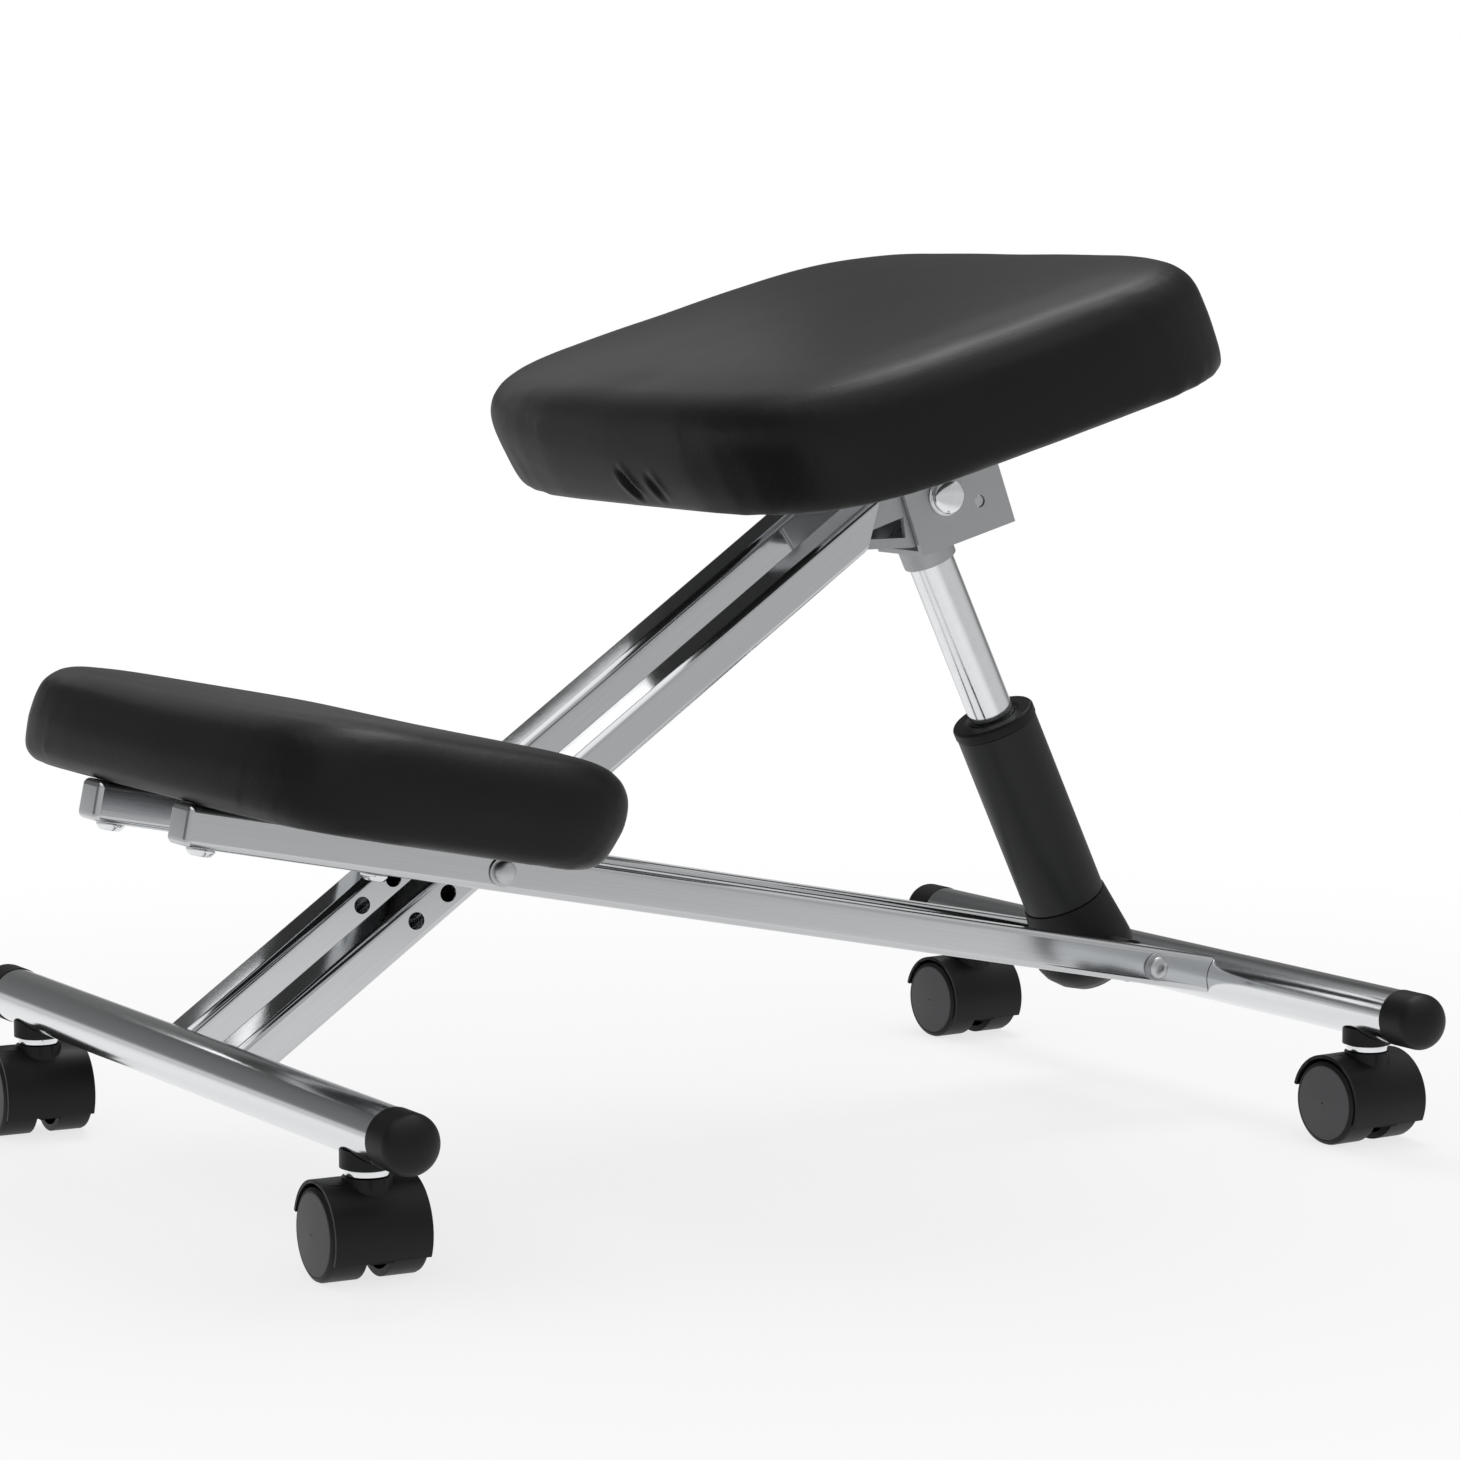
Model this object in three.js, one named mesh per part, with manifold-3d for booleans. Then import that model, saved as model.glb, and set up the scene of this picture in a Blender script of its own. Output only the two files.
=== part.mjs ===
// A kneeling chair on four twin-wheel casters, with a gas lift under its seat.
// Millimetres and degrees. +X is the sitter's left, +Y the rear, +Z up.
// Two rails carry the knee pad and run back to the rear bar. Two struts cross them at a
// pivot and run from the front bar up to the seat. The lift stands on the rails and holds
// the seat, so pressing its lever opens or closes the scissor of rails and struts.
import * as THREE from 'three';
import { mergeVertices } from 'three/addons/utils/BufferGeometryUtils.js';
import Module from 'manifold-3d';

const wasm = await Module();
wasm.setup();

// Gaps and cuts
const fitGap = 0.3;
const cutOverrun = 6;
const weldTolerance = 0.001;

// Frame tubes and bars
const barRadius = 16;
const barWall = 1.5;
const frontBarLength = 498;
const rearBarLength = 478;
const tubeWidth = 26;
const tubeHeight = 23;
const tubeCorner = 4;
const tubeWall = 1.5;
const strutCentre = 33.8;
const sideClearance = 1.1;

// Where the scissor's members meet, measured along the rails and struts from the pivot
const railFall = 11.54;
const railToRearBar = 516;
const railToLift = 460;
const railNose = 194;
const noseWall = 3;
const strutToFrontBar = 188.2;
const frontBarRise = 5.5;
const strutFootTrim = 4;
const holeRadius = 5;
const holePitch = 24.5;
const freeHoles = 2;

// Bolts of the scissor
const boltRadius = 5;
const boltFlangeRadius = 8.5;
const boltFlange = 1.2;
const boltHeadRadius = 6.5;
const boltHead = 4.2;
const boltSocketRadius = 2.4;
const boltSocket = 2.6;
const nutHeight = 7;
const spacerWall = 2.7;

// Bar end caps
const capRadius = 16.5;
const capLength = 18;
const capDome = 12;
const capSpigot = 15;
const capWall = 2.5;

// Casters
const wheelRadius = 25;
const wheelWidth = 21;
const wheelRound = 3;
const wheelDome = 1.2;
const wheelRecess = 7;
const wheelRim = 4;
const hubRadius = 9;
const axleRadius = 4;
const axleReach = 13;
const hoodHalfWidth = 27;
const hoodGap = 1.5;
const hoodWall = 2;
const webHalfWidth = 6.4;
const webGap = 0.6;
const webFloor = 12;
const hoodMouthHeight = 22.5;
const hoodMouthTilt = 20.5;
const casterTrail = 6;
const neckRadius = 13.2;
const neckTop = 54.5;
const ringRadius = 12;
const ringRecess = 1.2;
const ringHeight = 4.5;
const stemRadius = 4;
const stemDepth = 18;
const stemTopRadius = 5.5;
const stemRise = 26;
const collarRadius = 14.5;
const collarHeight = 4;
const collarRise = 3;
const socketRadius = 8.5;
const casterInset = 30;
const frontCasterTurn = -3;
const rearCasterTurn = 3;

// Gas lift, measured up its axis from its lower pivot
const liftLean = 25.3;
const shoeBottom = -20;
const shoeSeam = 38;
const shoeTopRadius = 26.2;
const shoeRadius = 31.5;
const shoeToe = 14;
const shoeFloor = 9;
const crossBossRadius = 13;
const liftTubeRadius = 25.4;
const liftTubeWall = 3.2;
const liftTubeTop = 160.5;
const spigotStep = 2.2;
const rimHeight = 7;
const rimStep = 0.6;
const rimSkirt = 12;
const cylinderRadius = 14;
const cylinderWall = 1.4;
const cylinderBottom = 95;
const cylinderTop = 297;
const cylinderEnd = 7;
const rodRadius = 5;
const pistonReach = 16;
const pistonHeight = 8;
const valveRadius = 3.6;
const valveStand = 6;
const valveDepth = 12;

// The seat's bracket, the yoke on the struts and the pivot that joins them
const seatPivotRise = 313.5;
const seatPivotOffset = 12;
const seatTilt = 15.86;
const pivotUnderSeat = 51.3;
const pivotBehindCentre = 29.3;
const plateThickness = 3;
const plateGap = 0.8;
const openPivotGap = 2.2;
const seatBoltRadius = 5;
const seatBoltFlangeRadius = 12;
const seatBoltDome = 6.5;
const eyeRadius = 14;
const strutSetbackLow = 74.7;
const strutSetbackHigh = 46.7;
const yokeWeld = 8;
const yokeInset = 2.5;
const yokeWebLength = 50;
const yokeWindowFrame = 6;
const yokeWindowDrop = 12;
const bracketTopMargin = 20;
const bracketTopWidth = 160;
const bracketHeight = 81.5;
const bracketFront = 25;
const bracketRear = 44.5;
const bracketTaper = 6;
const sleeveWall = 2.2;
const sleeveLength = 22;
const screwRadius = 3;
const screwHeadRadius = 7;
const screwHead = 3.4;
const screwDepth = 8.5;
const screwMargin = 16;

// Release lever, from its own axis under the seat
const leverRadius = 3.5;
const leverBehindPivot = 23;
const leverBelowPivot = 10.7;
const leverReach = 130;
const leverBend = 14;
const leverHandle = 46;
const leverSetback = 1;
const paddleWidth = 14;
const paddleThickness = 3;
const paddleOverhang = 8;
const gripRadius = 7;
const gripWall = 3;

// Seat cushion and board
const seatWidth = 433;
const seatDepth = 331;
const seatHeight = 66.5;
const seatCrown = 7;
const seatDip = 1;
const seatBottomInset = 3;
const seatRearUndercut = 2;
const seatFrontEdge = 26;
const seatRearEdge = 17;
const seatLean = -13;
const seatDraw = 2;
const seatBoardThickness = 12;
const seatBoardInset = 14;
const seatBoardAhead = 2;
const seatCornerPower = 4.1;

// Knee cushion and board
const kneeWidth = 420;
const kneeDepth = 219;
const kneeHeight = 54.5;
const kneeCrown = 1.5;
const kneeDip = 2;
const kneeBottomInset = 8;
const kneeRearUndercut = 15;
const kneeFrontEdge = 16;
const kneeRearEdge = 22;
const kneeLean = 8;
const kneeDraw = 2;
const kneeAhead = 93.7;
const kneeBoardThickness = 10;
const kneeBoardInset = 21.5;
const kneeBoardAhead = 7.8;
const kneeCornerPower = 5.6;
const kneeBoltAhead = 178;
const kneeBoltPitch = 106;
const kneeBoltRadius = 3;
const kneeBoltHeadRadius = 8;
const kneeBoltHead = 4;

// Facets
const quarter = Math.PI / 2;
const turn = Math.PI * 2;
const barSides = 20;
const boltSides = 12;
const nutSides = 6;
const wheelSides = 18;
const ringSides = 16;
const liftSides = 24;
const leverSteps = 26;
const leverArcSteps = 4;
const cornerSteps = 2;
const domeSteps = 3;
const arcSteps = 10;
const cushionSides = 44;

// Sizes that follow from the ones above
const barHeight = neckTop + ringHeight + collarHeight + barRadius;
const railCentre = strutCentre + tubeWidth + sideClearance;
const radians = THREE.MathUtils.degToRad;
const pivotHeight = barHeight + railToRearBar * Math.sin(radians(railFall));
const footReach = Math.hypot(strutToFrontBar, frontBarRise);
const footAngle = Math.atan2(frontBarRise, strutToFrontBar);
const strutRise = Math.asin((pivotHeight - barHeight) / footReach) + footAngle;
const strutInside = strutCentre - tubeWidth / 2 - fitGap;
const bracketInside = strutInside + plateGap;
const boardRear = seatDepth / 2 - seatBoardInset - seatBoardAhead;
const bracketTopHalf = boardRear - bracketTopMargin - pivotBehindCentre;
const leverAxis = [pivotBehindCentre + leverBehindPivot, -pivotUnderSeat - leverBelowPivot];

/** A finish of its own for each mesh. */
function finish(color, roughness, metalness) {
  return () => new THREE.MeshStandardMaterial({ color, roughness, metalness });
}

const brushedTube = finish(0x9a9c9f, 0.32, 1);
const polishedSteel = finish(0xc9cbce, 0.18, 1);
const chrome = finish(0xe4e6e8, 0.08, 1);
const zincSteel = finish(0xb9bbbd, 0.35, 1);
const greyPaintedSteel = finish(0x8c8e90, 0.45, 0.6);
const blackPlastic = finish(0x1d1d1e, 0.5, 0);
const wheelPlastic = finish(0x3f4041, 0.55, 0);
const blackPaintedSteel = finish(0x2c2d2f, 0.42, 0.1);
const blackLeather = finish(0x26272a, 0.42, 0);
const plywood = finish(0xb08a5a, 0.7, 0);

/** A solid from a closed geometry, for cutting and joining. */
function solidOf(geometry) {
  const bare = geometry.clone();
  bare.deleteAttribute('normal');
  bare.deleteAttribute('uv');
  const merged = mergeVertices(bare, weldTolerance);
  const corners = merged.index.array;
  const kept = [];
  for (let i = 0; i < corners.length; i += 3) {
    const [a, b, c] = corners.slice(i, i + 3);
    if (a !== b && b !== c && c !== a) kept.push(a, b, c);
  }
  const vertProperties = new Float32Array(merged.attributes.position.array);
  return new wasm.Manifold(new wasm.Mesh({ numProp: 3, vertProperties, triVerts: new Uint32Array(kept) }));
}

/** The geometry of a solid. */
function geometryOf(solid) {
  const mesh = solid.getMesh();
  const geometry = new THREE.BufferGeometry();
  geometry.setAttribute('position', new THREE.BufferAttribute(new Float32Array(mesh.vertProperties), 3));
  geometry.setIndex(new THREE.BufferAttribute(new Uint32Array(mesh.triVerts), 1));
  geometry.computeVertexNormals();
  return geometry;
}

/** Joins the geometries of one list and cuts those of another from them. */
function shapeFrom(joined, cutters = []) {
  let solid = solidOf(joined[0]);
  for (const geometry of joined.slice(1)) solid = solid.add(solidOf(geometry));
  for (const geometry of cutters) solid = solid.subtract(solidOf(geometry));
  return geometryOf(solid);
}

/** A mesh with its name and finish, under its parent. */
function addPart(parent, name, geometry, material, place = [0, 0, 0]) {
  const mesh = new THREE.Mesh(geometry, material());
  mesh.name = name;
  mesh.position.set(...place);
  parent.add(mesh);
  return mesh;
}

/** A group at a point of the side view, turned about X. */
function sideGroup(parent, point, angle) {
  const group = new THREE.Group();
  group.position.set(0, point.x, point.y);
  group.rotation.x = angle;
  group.updateMatrix();
  parent.add(group);
  return group;
}

/** A solid cylinder along X, Y or Z, from one end to the other, at a place on the other two axes. */
function rod(axis, radius, from, to, place = [0, 0], sides = boltSides) {
  const geometry = new THREE.CylinderGeometry(radius, radius, to - from, sides);
  geometry.translate(0, (from + to) / 2, 0);
  if (axis === 'x') return geometry.rotateZ(-quarter).translate(0, place[0], place[1]);
  if (axis === 'z') return geometry.rotateX(quarter).translate(place[0], place[1], 0);
  return geometry.translate(place[0], 0, place[1]);
}

/** A box between two corners. */
function block(low, high) {
  const size = high.map((value, i) => value - low[i]);
  const middle = high.map((value, i) => (value + low[i]) / 2);
  return new THREE.BoxGeometry(...size).translate(...middle);
}

/** A turned solid about Z, or about X, from [radius, height] pairs. */
function turned(axis, pairs, sides) {
  const points = pairs.map(([radius, height]) => new THREE.Vector2(radius, height));
  const geometry = new THREE.LatheGeometry(points, sides);
  return axis === 'x' ? geometry.rotateZ(-quarter) : geometry.rotateX(quarter);
}

/** A rectangle with round corners. */
function roundRectangle(width, height, corner) {
  const x = width / 2 - corner;
  const y = height / 2 - corner;
  const shape = new THREE.Shape();
  shape.absarc(x, y, corner, 0, quarter);
  shape.absarc(-x, y, corner, quarter, quarter * 2);
  shape.absarc(-x, -y, corner, quarter * 2, quarter * 3);
  shape.absarc(x, -y, corner, quarter * 3, turn);
  return shape;
}

/** A prism of a rectangle with round corners, along Y. */
function prismAlongY(width, height, corner, from, to) {
  const settings = { depth: to - from, bevelEnabled: false, curveSegments: cornerSteps };
  const geometry = new THREE.ExtrudeGeometry(roundRectangle(width, height, corner), settings);
  return geometry.translate(0, 0, from).rotateX(-quarter);
}

/** The frame's tube along Y, as its outside and the bore that is cut from it. */
function frameTube(from, to, boreFrom, boreTo) {
  const outside = prismAlongY(tubeWidth, tubeHeight, tubeCorner, from, to);
  const boreWidth = tubeWidth - tubeWall * 2;
  const boreHeight = tubeHeight - tubeWall * 2;
  const bore = prismAlongY(boreWidth, boreHeight, tubeCorner - tubeWall, boreFrom, boreTo);
  return { outside, bore };
}

/** A plate whose outline lies in the side view, between two places on X. */
function sidePlate(shape, from, to) {
  const settings = { depth: to - from, bevelEnabled: false, curveSegments: arcSteps };
  const geometry = new THREE.ExtrudeGeometry(shape, settings).translate(0, 0, from);
  const y = new THREE.Vector3(0, 1, 0);
  const z = new THREE.Vector3(0, 0, 1);
  const x = new THREE.Vector3(1, 0, 0);
  return geometry.applyMatrix4(new THREE.Matrix4().makeBasis(y, z, x));
}

/** Where a line from a point touches a circle; side is 1 or -1. */
function touchPoint(from, centre, radius, side) {
  const spoke = from.clone().sub(centre);
  const opening = Math.acos(radius / spoke.length()) * side;
  return spoke.setLength(radius).rotateAround(new THREE.Vector2(), opening).add(centre);
}

/** A place of the side view as seen from a group that lies in it. */
function seenFrom(group, point) {
  const place = new THREE.Vector3(0, point.x, point.y).applyMatrix4(group.matrix.clone().invert());
  return new THREE.Vector2(place.y, place.z);
}

/** A place of a group as a place of the side view. */
function placeOf(group, along, above) {
  const place = new THREE.Vector3(0, along, above).applyMatrix4(group.matrix);
  return new THREE.Vector2(place.y, place.z);
}

// The five frames that the pieces lie in
const chair = new THREE.Group();
const pivot = new THREE.Vector2(0, pivotHeight);
const railFrame = sideGroup(chair, pivot, -radians(railFall));
const strutFrame = sideGroup(chair, pivot, strutRise);
const rearBar = placeOf(railFrame, railToRearBar, 0);
const frontBar = placeOf(strutFrame, -strutToFrontBar, frontBarRise);
const liftFoot = placeOf(railFrame, railToLift, 0);
const liftFrame = sideGroup(chair, liftFoot, radians(liftLean));
const seatPivot = placeOf(liftFrame, seatPivotOffset, seatPivotRise);
const seatAngle = radians(seatTilt);
const seatOrigin = new THREE.Vector2(-pivotBehindCentre, pivotUnderSeat)
  .rotateAround(new THREE.Vector2(), seatAngle);
const seatFrame = sideGroup(chair, seatOrigin.add(seatPivot), seatAngle);
const yokePivot = seenFrom(strutFrame, seatPivot);
const seatFromLift = seatFrame.matrix.clone().invert().multiply(liftFrame.matrix);

/** A bolt along X through a stack of the given half width: shaft, flanged head and capped nut. */
function boltThrough(halfWidth, radius, flangeRadius, headRadius, headHeight, socket) {
  const seat = halfWidth + fitGap;
  const flangeTop = seat + boltFlange;
  const headTop = flangeTop + headHeight;
  const shoulder = headTop - headHeight / 2;
  const dome = headRadius * Math.SQRT1_2;
  const profile = [[0, -flangeTop], [flangeRadius, -flangeTop], [flangeRadius, -seat], [radius, -seat],
    [radius, seat], [flangeRadius, seat], [flangeRadius, flangeTop], [headRadius, flangeTop],
    [headRadius, shoulder], [dome, headTop], [0, headTop]];
  const nut = rod('x', headRadius, -flangeTop - nutHeight, -flangeTop + boltFlange / 2, [0, 0], nutSides);
  const joined = [turned('x', profile, boltSides), nut];
  const recess = rod('x', boltSocketRadius, headTop - boltSocket, headTop + cutOverrun, [0, 0], nutSides);
  return shapeFrom(joined, socket ? [recess] : []);
}

/** The rails, with a closed nose, a cope over the rear bar and holes for every bolt. */
function addRails() {
  const boreEnd = railToRearBar + cutOverrun;
  const { outside, bore } = frameTube(-railNose, railToRearBar, noseWall - railNose, boreEnd);
  const reach = tubeHeight / 2 + cutOverrun;
  const half = tubeWidth / 2 + cutOverrun;
  const cutters = [bore,
    rod('x', barRadius + fitGap, -half, half, [railToRearBar, 0], barSides),
    rod('x', boltRadius + fitGap, -half, half),
    rod('x', boltRadius + fitGap, -half, half, [railToLift, 0])];
  for (const ahead of [kneeBoltAhead, kneeBoltAhead - kneeBoltPitch]) {
    cutters.push(rod('z', kneeBoltRadius + fitGap, -reach, reach, [0, -ahead]));
  }
  for (const [side, x] of [['left', railCentre], ['right', -railCentre]]) {
    addPart(railFrame, `${side}_rail`, shapeFrom([outside], cutters), brushedTube, [x, 0, 0]);
  }
}

/** The struts, with a cope over the front bar, free height holes and a mitred top. */
function addStruts() {
  const low = yokePivot.x - strutSetbackLow;
  const high = yokePivot.x - strutSetbackHigh;
  const foot = strutFootTrim - strutToFrontBar;
  const { outside, bore } = frameTube(foot, high, -strutToFrontBar, high + cutOverrun);
  const half = tubeWidth / 2 + cutOverrun;
  const mitre = new THREE.Shape();
  mitre.moveTo(low, -tubeHeight / 2);
  mitre.lineTo(high, tubeHeight / 2);
  mitre.lineTo(high, tubeHeight / 2 + cutOverrun);
  mitre.lineTo(high + cutOverrun, tubeHeight / 2 + cutOverrun);
  mitre.lineTo(high + cutOverrun, -tubeHeight / 2 - cutOverrun);
  mitre.lineTo(low, -tubeHeight / 2 - cutOverrun);
  const cutters = [bore,
    rod('x', barRadius + fitGap, -half, half, [-strutToFrontBar, frontBarRise], barSides),
    rod('x', boltRadius + fitGap, -half, half),
    sidePlate(mitre, -half, half)];
  for (let i = 1; i <= freeHoles; i += 1) {
    cutters.push(rod('x', holeRadius, -half, half, [-holePitch * i, 0]));
  }
  for (const [side, x] of [['left', strutCentre], ['right', -strutCentre]]) {
    addPart(strutFrame, `${side}_strut`, shapeFrom([outside], cutters), brushedTube, [x, 0, 0]);
  }
}

/** The bolts and the spacer of the scissor's pivot and the lift's foot. */
function addPivots() {
  const halfStack = railCentre + tubeWidth / 2;
  const bolt = (socket) => boltThrough(
    halfStack, boltRadius, boltFlangeRadius, boltHeadRadius, boltHead, socket);
  addPart(railFrame, 'scissor_pivot_bolt', bolt(false), zincSteel);
  addPart(railFrame, 'lift_foot_bolt', bolt(true), zincSteel, [0, railToLift, 0]);
  const inner = boltRadius + fitGap;
  const outer = inner + spacerWall;
  const ring = [[inner, -strutInside], [outer, -strutInside], [outer, strutInside], [inner, strutInside],
    [inner, -strutInside]];
  addPart(railFrame, 'pivot_spacer', shapeFrom([turned('x', ring, boltSides)]), zincSteel);
}

/** One crossbar tube with its socket holes, and its two end caps. */
function addBar(name, place, length) {
  const half = length / 2;
  const casterPlace = half - casterInset;
  const inner = barRadius - barWall;
  const cutters = [rod('x', inner, -half - cutOverrun, half + cutOverrun, [0, 0], barSides)];
  for (const x of [casterPlace, -casterPlace]) {
    cutters.push(rod('z', socketRadius + fitGap, -barRadius - cutOverrun, 0, [x, 0], boltSides));
  }
  const tube = shapeFrom([rod('x', barRadius, -half, half, [0, 0], barSides)], cutters);
  addPart(chair, `${name}_bar`, tube, polishedSteel, [0, place.x, place.y]);
  const spigot = inner - fitGap;
  const profile = [[0, capWall], [spigot - capWall, capWall], [spigot - capWall, -capSpigot],
    [spigot, -capSpigot], [spigot, fitGap], [capRadius, fitGap], [capRadius, capLength]];
  for (let i = 1; i < domeSteps; i += 1) {
    const angle = quarter * i / domeSteps;
    profile.push([capRadius * Math.cos(angle), capLength + capDome * Math.sin(angle)]);
  }
  profile.push([0, capLength + capDome]);
  for (const side of ['left', 'right']) {
    const cap = shapeFrom([turned('x', profile, barSides)]);
    const mesh = addPart(chair, `${name}_${side}_end_cap`, cap, blackPlastic, [half, place.x, place.y]);
    if (side === 'right') {
      mesh.position.x = -half;
      mesh.rotation.z = Math.PI;
    }
  }
}

/** A socket collar under a bar, shaped to the bar and bored for the caster's stem. */
function collarGeometry() {
  const low = -barRadius - collarHeight + fitGap;
  const far = collarRadius + cutOverrun;
  const bar = rod('x', barRadius + fitGap, -far, far, [0, 0], barSides);
  const pad = rod('z', collarRadius, low, collarRise - barRadius, [0, 0], ringSides);
  const saddle = solidOf(shapeFrom([pad], [bar]));
  const socket = solidOf(rod('z', socketRadius, low, barRadius / 2));
  const bore = solidOf(rod('z', stemTopRadius + fitGap, low - cutOverrun, barRadius));
  return geometryOf(saddle.add(socket).subtract(bore));
}

/** A caster's hood: a web between the wheels, a cover over them with a slanting mouth, and a neck. */
function hoodGeometry() {
  const pocketRadius = wheelRadius + hoodGap;
  const outer = pocketRadius + hoodWall;
  const axle = [-casterTrail, wheelRadius];
  const far = hoodHalfWidth + cutOverrun;
  const reach = outer + cutOverrun;
  const floor = block([-casterTrail - reach, -far, -reach], [reach, far, webFloor]);
  const mouths = [[webHalfWidth, far], [-far, -webHalfWidth]].map(([from, to]) => (
    block([-reach * 2, from, -reach * 2], [reach * 2, to, 0])
      .rotateY(radians(hoodMouthTilt))
      .translate(-casterTrail, 0, hoodMouthHeight)));
  const joined = [
    rod('y', outer, -hoodHalfWidth, hoodHalfWidth, axle, wheelSides),
    rod('z', neckRadius, wheelRadius, neckTop, [0, 0], ringSides)];
  const cutters = [
    rod('y', pocketRadius, webHalfWidth, far, axle, wheelSides),
    rod('y', pocketRadius, -far, -webHalfWidth, axle, wheelSides),
    rod('y', axleRadius + fitGap, -far, far, axle),
    rod('z', stemRadius + fitGap, neckTop - stemDepth - fitGap, neckTop + cutOverrun),
    rod('z', ringRadius + ringRecess, neckTop, neckTop + cutOverrun, [0, 0], ringSides),
    floor,
    ...mouths];
  return shapeFrom(joined, cutters);
}

/** A wheel about Y with its face to +Y, its inner side at zero, and a flat facet at the bottom. */
function wheelGeometry() {
  const outer = wheelRadius / Math.cos(Math.PI / wheelSides);
  const shoulder = outer - wheelRound;
  const bore = axleRadius + fitGap;
  const rimInside = outer - wheelRim;
  const boreEnd = axleReach + fitGap * 2;
  const round = wheelRound * (1 - Math.SQRT1_2);
  const profile = [
    [0, boreEnd], [bore, boreEnd], [bore, 0], [hubRadius, 0], [hubRadius, wheelRecess],
    [rimInside, wheelRecess], [rimInside, 0], [outer, 0], [outer, wheelWidth - wheelRound],
    [outer - round, wheelWidth - round], [shoulder, wheelWidth], [0, wheelWidth + wheelDome]];
  const points = profile.map(([radius, height]) => new THREE.Vector2(radius, height));
  return shapeFrom([new THREE.LatheGeometry(points, wheelSides).rotateY(Math.PI / wheelSides)]);
}

/** A complete caster under the bar at a place, turned about its stem. */
function addCaster(name, x, y, angle) {
  const caster = new THREE.Group();
  caster.position.set(x, y, 0);
  chair.add(caster);
  addPart(caster, `${name}_collar`, collarGeometry(), blackPlastic, [0, 0, barHeight]);
  const swivel = new THREE.Group();
  swivel.rotation.z = radians(angle);
  caster.add(swivel);
  const ringTop = neckTop + ringHeight;
  const stem = [[0, neckTop - stemDepth], [stemRadius, neckTop - stemDepth], [stemRadius, neckTop + fitGap],
    [ringRadius, neckTop + fitGap], [ringRadius, ringTop], [stemTopRadius, ringTop],
    [stemTopRadius, ringTop + stemRise], [0, ringTop + stemRise]];
  addPart(swivel, `${name}_stem`, shapeFrom([turned('z', stem, ringSides)]), chrome);
  addPart(swivel, `${name}_hood`, hoodGeometry(), blackPlastic);
  const axleHalf = webHalfWidth + webGap + axleReach;
  addPart(swivel, `${name}_axle`, shapeFrom([rod('y', axleRadius, -axleHalf, axleHalf)]), zincSteel,
    [-casterTrail, 0, wheelRadius]);
  const inner = webHalfWidth + webGap;
  for (const [side, y, roll] of [['rear', inner, 0], ['front', -inner, Math.PI]]) {
    const place = [-casterTrail, y, wheelRadius];
    const wheel = addPart(swivel, `${name}_${side}_wheel`, wheelGeometry(), wheelPlastic, place);
    wheel.rotation.x = roll;
  }
}

/** The gas lift: shoe, outer tube, rim bush, piston rod, cylinder and valve pin. */
function addLift() {
  const spigotRadius = liftTubeRadius - spigotStep;
  const bore = liftTubeRadius - liftTubeWall;
  const between = railCentre - tubeWidth / 2 - fitGap;
  const flare = [[0, shoeBottom], [shoeToe, shoeBottom], [shoeRadius, 0], [shoeTopRadius, shoeSeam],
    [0, shoeSeam]];
  const shoe = shapeFrom(
    [turned('z', flare, liftSides), rod('x', crossBossRadius, -between, between, [0, 0], liftSides)],
    [rod('z', spigotRadius + fitGap, shoeFloor, shoeSeam + cutOverrun, [0, 0], liftSides),
      rod('x', boltRadius + fitGap, -between - cutOverrun, between + cutOverrun)]);
  addPart(liftFrame, 'lift_shoe', shoe, blackPlastic);
  const tube = [[rodRadius + fitGap, shoeFloor + fitGap], [spigotRadius, shoeFloor + fitGap],
    [spigotRadius, shoeSeam + fitGap], [liftTubeRadius, shoeSeam + fitGap], [liftTubeRadius, liftTubeTop],
    [bore, liftTubeTop], [bore, shoeFloor + liftTubeWall], [rodRadius + fitGap, shoeFloor + liftTubeWall],
    [rodRadius + fitGap, shoeFloor + fitGap]];
  addPart(liftFrame, 'lift_outer_tube', shapeFrom([turned('z', tube, liftSides)]), blackPaintedSteel);
  const rimTop = liftTubeTop + rimHeight;
  const bushBore = cylinderRadius + fitGap;
  const skirt = bore - fitGap;
  const rimOutside = liftTubeRadius + rimStep;
  const rim = [[bushBore, liftTubeTop - rimSkirt], [skirt, liftTubeTop - rimSkirt],
    [skirt, liftTubeTop + fitGap], [rimOutside, liftTubeTop + fitGap], [rimOutside, rimTop - rimStep * 2],
    [liftTubeRadius - rimStep, rimTop], [bushBore, rimTop], [bushBore, liftTubeTop - rimSkirt]];
  addPart(liftFrame, 'lift_rim_bush', shapeFrom([turned('z', rim, liftSides)]), blackPlastic);
  const cylinderBore = cylinderRadius - cylinderWall;
  const pistonBase = cylinderBottom + cylinderEnd + pistonReach;
  const pistonRadius = cylinderBore - fitGap;
  const pistonTop = pistonBase + pistonHeight;
  const piston = [[0, shoeFloor + fitGap], [rodRadius, shoeFloor + fitGap], [rodRadius, pistonBase],
    [pistonRadius, pistonBase], [pistonRadius, pistonTop], [0, pistonTop]];
  addPart(liftFrame, 'lift_piston_rod', shapeFrom([turned('z', piston, boltSides)]), chrome);
  const guide = rodRadius + fitGap;
  const port = valveRadius + fitGap;
  const roof = cylinderTop - cylinderEnd;
  const base = cylinderBottom + cylinderEnd;
  const cylinder = [[guide, cylinderBottom], [cylinderRadius, cylinderBottom],
    [cylinderRadius, cylinderTop], [port, cylinderTop], [port, roof], [cylinderBore, roof],
    [cylinderBore, base], [guide, base], [guide, cylinderBottom]];
  addPart(liftFrame, 'lift_cylinder', shapeFrom([turned('z', cylinder, liftSides)]), chrome);
  const pin = rod('z', valveRadius, cylinderTop - valveDepth, cylinderTop + valveStand);
  addPart(liftFrame, 'lift_valve_pin', shapeFrom([pin]), zincSteel);
}

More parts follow.
